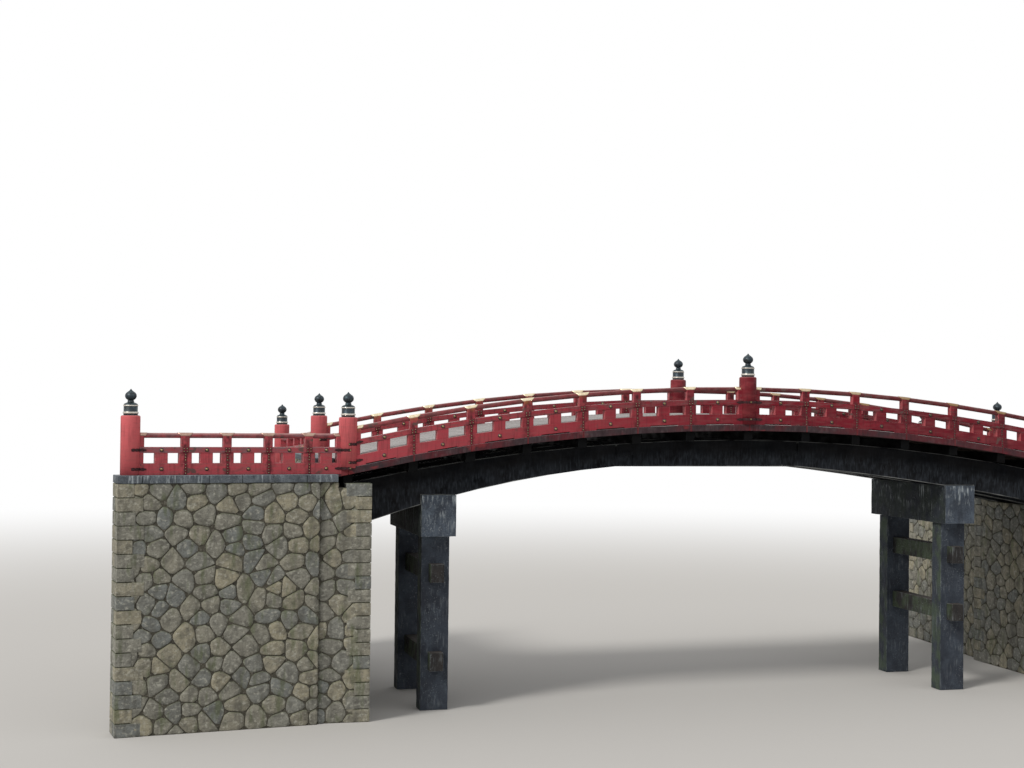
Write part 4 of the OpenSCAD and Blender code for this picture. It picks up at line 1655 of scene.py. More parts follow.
@dataclass
class Straps:
    """Lace-edged bands round the round posts, run out on to the rails beside them."""

    height: float = 0.1
    reach: float = 0.48
    stand: float = 0.005
    wall: float = 0.006
    lobes: int = 9
    waist: float = 0.72
    tip_from: float = 0.75
    tip_least: float = 0.08
    overlap: float = math.radians(2)
    round_steps: int = 24
    flat_steps: int = 16
    nail_pitch: float = 0.1
    nailed: float = 0.92

    def path(self, band: HalfBand) -> list[tuple[Vector, Vector]]:
        """Follows the middle of half a band.

        Args:
            band: The half band.

        Returns:
            Points, at no drop, and outward directions, from the post's front to the tip.
        """
        run, radius = band.run, SECTION.round_r
        meet = math.acos(band.half / radius)
        found = []
        for i in range(self.round_steps + 1):
            turn = -self.overlap + (meet + self.overlap) * i / self.round_steps
            out = run.along * (band.toward * math.sin(turn)) + run.across * (band.way * math.cos(turn))
            found.append((run.at(band.mark, 0.0, 0.0) + out * radius, out))
        start = radius * math.sin(meet)
        for i in range(1, self.flat_steps + 1):
            s = start + (self.reach - start) * i / self.flat_steps
            point = run.at(band.mark + band.toward * s, band.way * band.half, 0.0)
            found.append((point, run.across * band.way))
        return found

    def add_half(self, fittings: Fittings, shape: bmesh.types.BMesh, band: HalfBand) -> None:
        """Adds half a band and its nails.

        Args:
            fittings: What collects the nails.
            shape: What the band is added to.
            band: The half band.
        """
        points = self.path(band)
        lengths = [0.0]
        for (a, _), (b, _) in zip(points, points[1:]):
            lengths.append(lengths[-1] + (b - a).xy.length)
        total = lengths[-1]
        rows, wanted = [], self.nail_pitch / 2
        for (point, out), length in zip(points, lengths):
            share = length / total
            lobe = abs(math.sin(share * math.pi * self.lobes / 2))
            past = max(0.0, (share - self.tip_from) / (1 - self.tip_from))
            taper = max(math.sqrt(max(0.0, 1 - past**2)), self.tip_least)
            tall = UP * (self.height / 2 * (self.waist + (1 - self.waist) * lobe) * taper)
            base = point - UP * band.drop
            outer, inner = base + out * (self.stand + self.wall), base - out * self.stand
            corners = (inner - tall, outer - tall, outer + tall, inner + tall)
            rows.append([shape.verts.new(corner) for corner in corners])
            if wanted <= length < total * self.nailed:
                fittings.places[STRAP_NAILS].append((outer, out))
                wanted += self.nail_pitch
        for a, b in zip(rows, rows[1:]):
            for (a0, a1), (b0, b1) in zip(pairs(a), pairs(b)):
                shape.faces.new((a0, a1, b1, b0))
        shape.faces.new(rows[0])
        shape.faces.new(reversed(rows[-1]))

    def build(self, fittings: Fittings, jobs: Sequence[tuple[Run, float, int]]) -> None:
        """Makes every band.

        Args:
            fittings: What collects the nails and the middle bosses.
            jobs: Run, post and way along the run of each half band.
        """
        shape = bmesh.new()
        for run, mark, toward in jobs:
            for way in (-1, 1):
                for half, drops in (
                    (SECTION.middle_half, SECTION.middle),
                    (SECTION.lower_half, SECTION.lower),
                ):
                    drop = sum(drops) / 2
                    self.add_half(fittings, shape, HalfBand(run, mark, toward, way, half, drop))
                    if toward > 0:
                        out = run.across * way
                        point = run.at(mark, 0.0, drop) + out * (SECTION.round_r + self.stand + self.wall)
                        fittings.places[STRAP_BOSSES].append((point, out))
        bmesh.ops.recalc_face_normals(shape, faces=shape.faces)
        show("post_straps", mesh_of("post_straps", shape), STRAP_BRONZE)


@dataclass
class RoundPosts:
    """Round posts with onion-shaped caps, at the middle and the ends of the arch and at the wing ends."""

    shoulder: float = 0.055
    shoulder_steps: int = 6
    sides: int = 64
    cap_r: float = 0.215
    onion_r: float = 0.178
    onion_z: float = 0.6
    onion_squash: float = 0.85
    onion_steps: int = 15
    onion_turns: tuple[float, float] = (-62, 54)
    bands: tuple[tuple[float, float, float], ...] = ((0.053, 0.112, 0.025), (0.283, 0.32, 0.017))
    band_edge: float = 0.008
    band_sunk: float = 0.01

    def post_profile(self, height: float) -> list[tuple[float, float]]:
        """Turns the outline of a post with a rounded shoulder.

        Args:
            height: Height of the post.

        Returns:
            Radius and height of each ring.
        """
        profile = [(SECTION.round_r, 0.0)]
        for i in range(self.shoulder_steps + 1):
            turn = math.pi / 2 * i / self.shoulder_steps
            radius = SECTION.round_r - self.shoulder * (1 - math.cos(turn))
            profile.append((radius, height - self.shoulder * (1 - math.sin(turn))))
        return profile

    def cap_profile(self) -> list[tuple[float, float]]:
        """Turns the outline of a cap: foot ring, drum, rounded top, neck, onion and its drawn-out tip.

        Returns:
            Radius and height of each ring.
        """
        r = self.cap_r
        profile = [(r + 0.005, 0.0), (r + 0.005, 0.048), (r, 0.053), (r, 0.323), (r - 0.002, 0.338)]
        profile += [(r - 0.012, 0.352), (r - 0.04, 0.372), (r - 0.085, 0.388), (r - 0.108, 0.402)]
        profile += [(0.1, 0.414), (0.097, 0.43), (0.1, 0.446)]
        low, high = self.onion_turns
        for i in range(self.onion_steps + 1):
            turn = math.radians(low + (high - low) * i / self.onion_steps)
            height = self.onion_z + self.onion_r * self.onion_squash * math.sin(turn)
            profile.append((self.onion_r * math.cos(turn), height))
        profile += [(0.078, 0.741), (0.056, 0.757), (0.037, 0.775), (0.021, 0.796), (0.006, 0.818)]
        return profile

    def band_profiles(self) -> list[list[tuple[float, float]]]:
        """Turns the outlines of the two gilt bands, each with rounded edges.

        Returns:
            Radius and height of each ring, band by band.
        """
        found = []
        for low, high, stand in self.bands:
            inner, outer, edge = self.cap_r - self.band_sunk, self.cap_r + stand, self.band_edge
            profile = [(inner, low), (outer - edge, low), (outer, low + edge)]
            profile += [(outer, high - edge), (outer - edge, high), (inner, high)]
            found.append(profile)
        return found

    def build(self, side: str, places: Sequence[tuple[Vector, float]]) -> None:
        """Makes the posts, the caps and the bands of one side of the bridge.

        Args:
            side: "near" or "far".
            places: Foot and height of each post.
        """
        posts, caps, bands = bmesh.new(), bmesh.new(), bmesh.new()
        for foot, height in places:
            lathe(posts, self.post_profile(height), foot, self.sides)
            head = foot + UP * height
            lathe(caps, self.cap_profile(), head, self.sides)
            for profile in self.band_profiles():
                lathe(bands, profile, head, self.sides)
        for name, shape, finish, replaced in (
            (f"{side}_turned_posts", posts, RED_POSTS, (f"{side}_round_posts",)),
            (f"{side}_onion_caps", caps, CAP_BRONZE, (f"{side}_post_caps",)),
            (f"{side}_cap_bands", bands, PALE_GILT, ()),
        ):
            show(name, mesh_of(name, shape, True), finish, replaced)


@dataclass
class Deck:
    """Boards laid across the bridge, nailed to the bearers."""

    drop: float = 0.94
    thickness: float = 0.09
    half_width: float = 3.223
    pitch: float = 0.252
    gap: float = 0.007
    arris: float = 0.006
    uneven: float = 0.004
    seed: int = 11
    nail_rows: tuple[float, ...] = (-3.1, -1.55, 0.0, 1.55, 3.1)
    nail_r: float = 0.011
    nail_sunk: float = 0.002
    nail_stand: float = 0.004
    nail_sides: int = 6

    def board(self) -> bpy.types.Mesh:
        """One board, with its middle at the origin.

        Returns:
            The board.
        """
        timber = Joinery()
        x, z = (self.pitch - self.gap) / 2, self.thickness / 2
        corners = ((-x, -z), (x, -z), (x, z), (-x, z))
        outline = [Vector((x, -self.half_width, z)) for x, z in corners]
        timber.prism(outline, FARWARD * (2 * self.half_width))
        return timber.mesh("board", self.arris)

    def nails(self) -> bpy.types.Mesh:
        """Nail heads of one board, two in each row.

        Returns:
            The heads.
        """
        heads = bmesh.new()
        profile = [(self.nail_r, -self.nail_sunk), (self.nail_r, self.nail_stand / 2)]
        profile.append((self.nail_r / 2, self.nail_stand))
        x = (self.pitch - self.gap) / 4
        for y in self.nail_rows:
            for way in (-1, 1):
                lathe(heads, profile, Vector((way * x, y, self.thickness / 2)), self.nail_sides)
        return mesh_of("board_nails", heads)

    def build(self, site: Site) -> None:
        """Makes the boards and their nails.

        Args:
            site: Sizes of the bridge.
        """
        middle = site.middle
        run = replace(site.arch_run(SIDES["far"]), origin=Vector((middle.x, middle.y, 0.0)))
        reach = site.span / 2 + site.end_over - self.pitch / 2
        line = bpy.data.meshes.new("deck_line")
        points = run.edge(-reach, reach, self.drop + self.thickness / 2)
        line.from_pydata(points, [(i, i + 1) for i in range(len(points) - 1)], [])
        planks = Planks("boards_along_the_arch")
        values = {"Pitch": self.pitch, "Unevenness": self.uneven, "Seed": self.seed}
        for name, mesh, finish, replaced in (
            ("deck_planking", self.board(), DECK_WOOD, ("deck_boards",)),
            ("deck_nails", self.nails(), NAIL_BRONZE, ()),
        ):
            values["Piece"] = bpy.data.objects.new(mesh.name, mesh)
            show(name, planks.apply(name, line, finish, **values), finish, replaced)


@dataclass
class EdgeBeams:
    """Weathered beam under each railing, in lengths that meet at the posts."""

    drops: tuple[float, float] = (SECTION.lower[1], 1.52)
    inside: float = 0.178
    outside: float = 0.192
    joint: float = 0.01
    arris: float = 0.012

    def build(self, side: str, run: Run, over: float) -> None:
        """Makes the beams of one side.

        Args:
            side: "near" or "far".
            run: The run of the railing over it.
            over: Length by which the beam runs on past the end posts.
        """
        timber = Joinery()
        shift = SIDES[side] * (self.outside - self.inside) / 2
        moved = replace(run, origin=run.origin + run.across * shift)
        marks = (run.marks[0] - over, *run.marks, run.marks[-1] + over)
        for start, end in zip(marks, marks[1:]):
            ends = (start + self.joint / 2, end - self.joint / 2)
            timber.bar(moved, ends, self.drops, (self.inside + self.outside) / 2)
        timber.show(f"{side}_weathered_edge", self.arris, RED_EDGE, (f"{side}_edge_beam",), moved)


# Steps in a CAD node that are rounding, and the turn between two faces that lie in one plane
WELD = 0.0002
FLAT = math.radians(0.5)


def add_node(shape: bmesh.types.BMesh, node: str, *welds: float) -> None:
    """Adds a CAD node's shape, with its triangles joined into flat faces.

    Args:
        shape: What it is added to.
        node: The CAD node.
        welds: Steps smaller than each of these are smoothed away in turn.
    """
    shape.from_mesh(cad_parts[node].data)
    for distance in welds:
        bmesh.ops.remove_doubles(shape, verts=shape.verts, dist=distance)
        bmesh.ops.dissolve_limit(shape, angle_limit=FLAT, verts=shape.verts, edges=shape.edges)


def eased_copy(node: str, name: str, arris: float, finish: Finish, weld: float = WELD) -> None:
    """Copies a CAD node with its arrises eased, and shows the copy in its place.

    Args:
        node: The CAD node.
        name: Name of the copy.
        arris: Width of an eased edge.
        finish: What it is made of.
        weld: Steps smaller than this are smoothed away, because they would hold the arris back.
    """
    timber = Joinery()
    add_node(timber.shape, node, WELD, weld)
    timber.show(name, arris, finish, (node,))


@dataclass
class Blocks:
    """Hewn blocks gathered in one mesh, cut into cells so that their faces can be worn."""

    arris: float
    cell: float
    shape: bmesh.types.BMesh = field(default_factory=bmesh.new)

    def add(self, corner: Vector, *edges: Vector) -> None:
        """Adds a block with eased arrises.

        Args:
            corner: One corner.
            edges: The three edges from that corner.
        """
        block = bmesh.new()
        bmesh.ops.create_cube(block, size=1.0)
        bmesh.ops.translate(block, verts=block.verts, vec=Vector((0.5, 0.5, 0.5)))
        turn = Matrix(edges).transposed().to_4x4()
        bmesh.ops.transform(block, matrix=Matrix.Translation(corner) @ turn, verts=block.verts)
        bmesh.ops.recalc_face_normals(block, faces=block.faces)
        bmesh.ops.bevel(
            block, geom=block.edges[:], offset=self.arris, segments=2, profile=Joinery.ROUNDNESS,
            affect="EDGES",
        )
        for edge in edges:
            count = int(edge.length / self.cell)
            for i in range(1, count):
                bmesh.ops.bisect_plane(
                    block,
                    geom=[*block.verts, *block.edges, *block.faces],
                    plane_co=corner + edge * (i / count),
                    plane_no=edge.normalized(),
                )
        mesh = mesh_of("block", block)
        self.shape.from_mesh(mesh)
        bpy.data.meshes.remove(mesh)

    def add_box(self, a: Vector, b: Vector) -> None:
        """Adds a block that lies square to the frame, between two opposite corners."""
        low = Vector(map(min, a, b))
        self.add(low, *(Vector(row) for row in Matrix.Diagonal(Vector(map(max, a, b)) - low)))

    def show(
        self, name: str, finish: Finish, depth: float, seed: int, replaced: Sequence[str] = (),
        hollow: float = 0.3,
    ) -> None:
        """Wears the blocks and shows them as one piece.

        Args:
            name: Name of the piece.
            finish: What the blocks are made of.
            depth: How deep they are worn.
            seed: Seed of their tones.
            replaced: CAD nodes that they replace.
            hollow: Size of a worn hollow.
        """
        mesh = mesh_of(name + "_blocks", self.shape)
        hewn = HewnBlocks(name + "_pattern")
        worn = hewn.apply(name, mesh, finish, Hollow=hollow, Depth=depth, Seed=seed)
        show(name, worn, finish, replaced)


@dataclass
class Masonry:
    """Rubble faces on the walls and abutments, with long and short stones up their corners."""

    seed: int
    course: float = 0.46
    width: float = 0.72
    shifts: tuple[float, float] = (0.42, 0.3)
    joint: float = 0.016
    sunk: float = 0.02
    slimmest: float = 0.12
    rounding: float = 0.2
    least_side: float = 0.03
    least_face: float = 0.3
    corner_course: float = 0.44
    corner_long: float = 0.8
    corner_short: float = 0.5
    corner_stand: float = 0.044
    corner_clear: float = 0.42
    corner_bed: float = 0.01
    on_face: float = 0.05
    at_border: float = 0.1
    corners: list[Vector] = field(default_factory=list)
    cells: dict[str, bmesh.types.BMesh] = field(default_factory=dict)
    quoins: Blocks = field(default_factory=lambda: Blocks(0.022, 0.17))

    def __post_init__(self) -> None:
        """Starts the random draws."""
        self.draw = random.Random(self.seed)

    @staticmethod
    def clip(outline: list[Vector], point: Vector, outward: Vector) -> list[Vector]:
        """Part of a flat outline that lies behind a line.

        Args:
            outline: The outline.
            point: A point of the line.
            outward: The way that the line faces.

        Returns:
            What is left of the outline.
        """
        kept = []
        for a, b in pairs(outline):
            da, db = (a - point).dot(outward), (b - point).dot(outward)
            if da <= 0:
                kept.append(a)
            if da * db < 0:
                kept.append(a + (b - a) * (da / (da - db)))
        return kept

    def seeds(self, low: Vector, high: Vector) -> dict[tuple[int, int], Vector]:
        """Middles of the stones over a rectangle, in uneven courses.

        Args:
            low: Lower left corner of the rectangle.
            high: Its upper right corner.

        Returns:
            The middles, by row and column.
        """
        found = {}
        rows = int((high.y - low.y) / self.course) + 4
        columns = int((high.x - low.x) / self.width) + 5
        for row in range(rows):
            shift = (row % 2) * self.width / 2
            for column in range(columns):
                x, y = (self.draw.uniform(-most, most) for most in self.shifts)
                x = low.x + (column - 2) * self.width + shift + x * self.width
                y = low.y + (row - 1.5) * self.course + y * self.course
                found[row, column] = Vector((x, y))
        return found

    def slim(self, outline: Sequence[Vector]) -> bool:
        """Finds out whether an outline is too narrow for a stone.

        Args:
            outline: The outline.

        Returns:
            Whether it is.
        """
        if len(outline) < 3:
            return False
        around = sum((b - a).length for a, b in pairs(outline))
        area = abs(sum(a.x * b.y - b.x * a.y for a, b in pairs(outline))) / 2
        return 2 * area / around < self.slimmest

    def cell(
        self, seeds: dict[tuple[int, int], Vector], place: tuple[int, int], face: list[Vector]
    ) -> list[Vector]:
        """Part of a face that is nearer to one stone's middle than to the others.

        Args:
            seeds: Middles of all stones.
            place: Row and column of this one.
            face: Outline of the wall's face.

        Returns:
            Its outline, of fewer than three points where the stone is off the face.
        """
        seed, cell = seeds[place], face
        for dr in (0, -1, 1, -2, 2):
            for dc in (-1, 1, 0, -2, 2):
                other = seeds.get((place[0] + dr, place[1] + dc))
                if other is None or other is seed or len(cell) < 3:
                    continue
                way = other - seed
                cell = self.clip(cell, (seed + other) / 2 - way.normalized() * self.joint / 2, way)
        return cell

    def rounded(self, outline: list[Vector]) -> list[Vector]:
        """Knocks the corners off an outline.

        Args:
            outline: The outline.

        Returns:
            The same outline with two points for each of its longer sides.
        """
        found = []
        for a, b in pairs(outline):
            if (b - a).length > self.least_side:
                found += [a.lerp(b, self.rounding), b.lerp(a, self.rounding)]
        return found

    def face(self, side: str, outline: Sequence[Vector], normal: Vector) -> None:
        """Lays rubble over one upright face, up to the corner stones.

        Args:
            side: Name of the heap that the stones go to.
            outline: The face's corners.
            normal: The way that it looks.
        """
        level = UP.cross(normal).normalized()
        start = outline[0]
        flat = [Vector(((p - start).dot(level), p.z)) for p in outline]
        low = Vector((min(p.x for p in flat), min(p.y for p in flat)))
        high = Vector((max(p.x for p in flat), max(p.y for p in flat)))
        for corner in self.corners:
            off = Vector((corner.x - start.x, corner.y - start.y, 0.0))
            x = off.dot(level)
            from_borders = [abs(x - border.x) for border in (low, high)]
            if abs(off.dot(normal)) > self.on_face or min(from_borders) > self.at_border:
                continue
            way = Vector((-1.0 if from_borders[0] < from_borders[1] else 1.0, 0.0))
            flat = self.clip(flat, Vector((x, 0.0)) - way * self.corner_clear, way)
        if len(flat) < 3:
            return
        heap = self.cells.setdefault(side, bmesh.new())
        seeds = self.seeds(low, high)
        for place in [p for p in seeds if self.slim(self.cell(seeds, p, flat))]:
            del seeds[place]
        back = start - normal * self.sunk
        for place in seeds:
            cell = self.cell(seeds, place, flat)
            if len(cell) > 2 and not self.slim(cell):
                points = [back + level * p.x + UP * (p.y - start.z) for p in self.rounded(cell)]
                heap.faces.new([heap.verts.new(point) for point in points])

    def dress_node(self, side: str, node: str, hidden: Sequence[Vector]) -> None:
        """Lays rubble over the upright faces of a CAD node.

        Args:
            side: Name of the heap that the stones go to.
            node: The CAD node, which stays as the wall's core.
            hidden: Directions that its covered faces look in.
        """
        shape = bmesh.new()
        add_node(shape, node, WELD)
        for face in shape.faces:
            covered = any(face.normal.dot(way) > 0.9 for way in hidden)
            if abs(face.normal.z) < 0.1 and face.calc_area() > self.least_face and not covered:
                self.face(side, [vertex.co.copy() for vertex in face.verts], face.normal.copy())
        shape.free()

    def courses(self, top: float) -> list[tuple[float, float]]:
        """Divides the height of a corner into courses.

        Args:
            top: Height of the corner.

        Returns:
            Level of each course's underside, and height of its stones.
        """
        count = max(1, round(top / self.corner_course))
        height = top / count
        return [(height * i + self.corner_bed / 2, height - self.corner_bed) for i in range(count)]

    def corner(self, foot: Vector, first: Vector, second: Vector, top: float) -> None:
        """Stacks long and short stones up a corner.

        Args:
            foot: The corner's foot, on the true faces of the wall.
            first: Way in along one face.
            second: Way in along the other face.
            top: Height of the corner.
        """
        self.corners.append(foot)
        for i, (level, height) in enumerate(self.courses(top)):
            long = self.corner_long + self.draw.uniform(-0.1, 0.02)
            short = self.corner_short + self.draw.uniform(-0.04, 0.06)
            a, b = (long, short) if i % 2 else (short, long)
            stand = self.corner_stand + self.draw.uniform(-0.004, 0.002)
            corner = foot - first * stand - second * stand + UP * level
            self.quoins.add(corner, first * (a + stand), second * (b + stand), UP * height)

    def wall_end(self, foot: Vector, inward: Vector, across: Vector, thickness: float, top: float) -> None:
        """Stacks stones up the free end of a wall, one across it and then two along its faces.

        Args:
            foot: Foot of one corner, on the true faces of the wall.
            inward: Way in along the wall.
            across: Way to the other corner.
            thickness: Thickness of the wall.
            top: Height of the wall's end.
        """
        self.corners += [foot, foot + across * thickness]
        for i, (level, height) in enumerate(self.courses(top)):
            stand = self.corner_stand + self.draw.uniform(-0.004, 0.002)
            start = foot - inward * stand - across * stand + UP * level
            full = thickness + 2 * stand
            half = (full - self.corner_bed) / 2
            blocks = [(start, self.corner_long, half)]
            blocks.append((start + across * (half + self.corner_bed), self.corner_long, half))
            for corner, length, width in [(start, self.corner_short, full)] if i % 2 else blocks:
                reach = length + stand + self.draw.uniform(-0.06, 0.04)
                self.quoins.add(corner, inward * reach, across * width, UP * height)

    def build(self) -> None:
        """Makes the stones."""
        values = {"Least stand": 0.02, "Most stand": 0.032, "Swell": 0.022, "Seed": 5}
        stones = SplitStones("split_stones")
        for side, heap in self.cells.items():
            name = f"{side}_wall_rubble"
            show(name, stones.apply(name, mesh_of(name + "_cells", heap), WALL_STONE, **values), WALL_STONE)
        self.quoins.show("wall_quoins", WALL_STONE, 0.022, 9, hollow=0.35)


@dataclass
class Piers:
    """Stone piers: two columns, a deep cap across them and two tie stones through them."""

    arris: float = 0.02
    cell: float = 0.09
    worn: float = 0.03
    tie_height: float = 0.63

    def build(self, side: str) -> None:
        """Makes one pier.

        Args:
            side: "west" or "east".
        """
        low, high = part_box(f"{side}_pier_ties")
        lower = (low, Vector((high.x, high.y, low.z + self.tie_height)))
        upper = (Vector((low.x, low.y, high.z - self.tie_height)), high)
        jobs = [
            (f"{part}_stone", part, (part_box(f"{side}_pier_{part}"),), PIER_STONE, 3)
            for part in ("near_column", "far_column", "cap")
        ]
        jobs.append(("tie_stones", "ties", (lower, upper), TIE_STONE, 4))
        for name, part, boxes, finish, seed in jobs:
            stones = Blocks(self.arris, self.cell)
            for box in boxes:
                stones.add_box(*box)
            stones.show(f"{side}_{name}", finish, self.worn, seed, (f"{side}_pier_{part}",))


@dataclass
class Copings:
    """Coping stones laid end to end under the wing railings."""

    start: float = 0.44
    past_post: float = 0.45
    level_before: float = 0.3
    half: float = 0.5
    height: float = 0.25
    length: float = 1.12
    joint: float = 0.008

    def build(self, runs: Iterable[Run]) -> None:
        """Makes the stones of every wing.

        Args:
            runs: Run of each wing.
        """
        stones = Blocks(0.018, 0.12)
        for run in runs:
            last = run.marks[-1]
            level = last - self.level_before
            count = round((level - self.start) / self.length)
            ends = [self.start + (level - self.start) * i / count for i in range(count + 1)]
            ends.append(last + self.past_post)
            for s0, s1 in zip(ends, ends[1:]):
                z0, z1 = (run.top(s if s1 <= level + MM else last) for s in (s0, s1))
                low = run.origin + run.along * s0 - run.across * self.half
                low += UP * (z0 - SECTION.lower[1] - self.height)
                way = run.along * (s1 - s0 - self.joint) + UP * (z1 - z0)
                stones.add(low, way, run.across * (2 * self.half), UP * self.height)
        stones.show("coping_stones", COPING_STONE, 0.02, 6, ("wing_copings",))


@dataclass
class Thresholds:
    """Dressed stones on top of the abutments: kerbs at the deck's ends, and blocks at its far corners."""

    pillar: float = 0.9
    clear: float = 0.01
    over: float = 0.05
    proud: float = 0.02
    kerb_h: float = 0.19
    kerb_count: int = 6
    coping_side: float = 0.41
    coping_end: float = 0.06

    def build(self) -> None:
        """Makes the stones of both ends."""
        stones = Blocks(0.015, 0.12)
        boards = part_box("deck_boards")
        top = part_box("wing_copings")[1].z
        foot = top - Copings.height
        for side, end in ENDS.items():
            low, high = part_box(f"{side}_abutment")
            deck_end, back = (boards[1].x, high.x) if end > 0 else (boards[0].x, low.x)
            inner, outer = deck_end + end * 2 * self.clear, back + end * self.over
            near, far = low.y + self.pillar - self.over, high.y - self.pillar + self.over
            pitch = (far - near) / self.kerb_count
            kerb_top = high.z + self.proud
            for i in range(self.kerb_count):
                y0, y1 = near + i * pitch, near + (i + 1) * pitch - self.clear
                stones.add_box(Vector((inner, y0, kerb_top - self.kerb_h)), Vector((outer, y1, kerb_top)))
            split = back - end * self.coping_side
            start = high.y - self.pillar + self.clear
            stones.add_box(Vector((inner, start, foot)), Vector((split, high.y - self.coping_end, top)))
            past_split = split + end * self.clear
            stones.add_box(Vector((past_split, start, foot)), Vector((outer, high.y + self.over, top)))
        stones.show("threshold_stones", COPING_STONE, 0.02, 8)


@dataclass
class Studio:
    """Pale floor, soft light and the camera."""

    camera_place: tuple[float, float, float] = (-20.200, -57.777, 10.193)
    yaw: float = 0.25989
    pitch: float = 0.01486
    roll: float = 0.010895
    lens_mm: float = 55.92
    sensor_mm: float = 36.0
    sees_to: float = 2000.0
    floor_r: float = 600.0
    floor_grey: str = "#c9c7c4"
    floor_fades: tuple[float, float] = (25.0, 110.0)
    sky: float = 0.62
    sun: float = 1.9
    sun_colour: tuple[float, float, float] = (1.0, 0.97, 0.92)
    sun_way: tuple[float, float, float] = (0.72, 0.42, -0.66)
    sun_angle: float = math.radians(14)

    def floor(self) -> None:
        """Lays a round floor that fades into the white behind it, and keeps the bridge's shadow."""
        shape = bmesh.new()
        bmesh.ops.create_circle(shape, cap_ends=True, radius=self.floor_r, segments=96)
        piece = object_of("floor", mesh_of("floor", shape))
        material = bpy.data.materials.new("pale_floor")
        material.use_nodes = True
        tree = material.node_tree
        tree.nodes.clear()
        place = add(tree, "ShaderNodeTexCoord").outputs["Object"]
        distance = add(tree, "ShaderNodeVectorMath", {0: place}, operation="LENGTH").outputs["Value"]
        ends = {"Value": distance, "From Min": self.floor_fades[0], "From Max": self.floor_fades[1]}
        fade = add(tree, "ShaderNodeMapRange", ends, interpolation_type="SMOOTHSTEP")
        seen = add(tree, "ShaderNodeLightPath").outputs["Is Camera Ray"]
        share = add(tree, "ShaderNodeMath", {0: fade, 1: seen}, operation="MULTIPLY")
        plain = add(tree, "ShaderNodeBsdfDiffuse", {"Color": linear(self.floor_grey)})
        white = add(tree, "ShaderNodeEmission", {"Color": WHITE, "Strength": 1.0})
        mixed = add(tree, "ShaderNodeMixShader", {0: share, 1: plain, 2: white})
        add(tree, "ShaderNodeOutputMaterial", {"Surface": mixed})
        piece.data.materials.append(material)

    def light(self) -> None:
        """Lights the bridge softly from the sky, and from the upper left in front."""
        world = bpy.data.worlds.new("studio")
        bpy.context.scene.world = world
        world.use_nodes = True
        tree = world.node_tree
        tree.nodes.clear()
        path = add(tree, "ShaderNodeLightPath").outputs
        seen = path["Is Camera Ray"]
        for kind in ("Is Glossy Ray", "Is Transmission Ray"):
            seen = add(tree, "ShaderNodeMath", {0: seen, 1: path[kind]}, operation="MAXIMUM")
        strength = add(tree, "ShaderNodeMapRange", {"Value": seen, "To Min": self.sky, "To Max": 1.0})
        sky = add(tree, "ShaderNodeBackground", {"Color": WHITE, "Strength": strength})
        add(tree, "ShaderNodeOutputWorld", {"Surface": sky})
        lamp = bpy.data.lights.new("sun", "SUN")
        lamp.energy = self.sun
        lamp.angle = self.sun_angle
        lamp.color = self.sun_colour
        sun = bpy.data.objects.new("sun", lamp)
        sun.rotation_euler = Vector(self.sun_way).to_track_quat("-Z", "Y").to_euler()
        bpy.context.scene.collection.objects.link(sun)

    def camera(self) -> None:
        """Stands the camera where the photograph was taken."""
        data = bpy.data.cameras.new("camera")
        data.sensor_width = self.sensor_mm
        data.lens = self.lens_mm
        data.clip_end = self.sees_to
        camera = bpy.data.objects.new("camera", data)
        right = Vector((math.cos(self.yaw), -math.sin(self.yaw), 0.0))
        level = Vector((math.sin(self.yaw), math.cos(self.yaw), 0.0))
        ahead = level * math.cos(self.pitch) + UP * math.sin(self.pitch)
        above = UP * math.cos(self.pitch) - level * math.sin(self.pitch)
        x = right * math.cos(self.roll) + above * math.sin(self.roll)
        y = above * math.cos(self.roll) - right * math.sin(self.roll)
        turn = Matrix((x, y, -ahead)).transposed().to_4x4()
        camera.matrix_world = Matrix.Translation(self.camera_place) @ turn
        bpy.context.scene.collection.objects.link(camera)
        bpy.context.scene.camera = camera

    def build(self) -> None:
        """Sets the stage."""
        self.camera()
        self.light()
        self.floor()
        bpy.context.scene.view_settings.view_transform = "Standard"


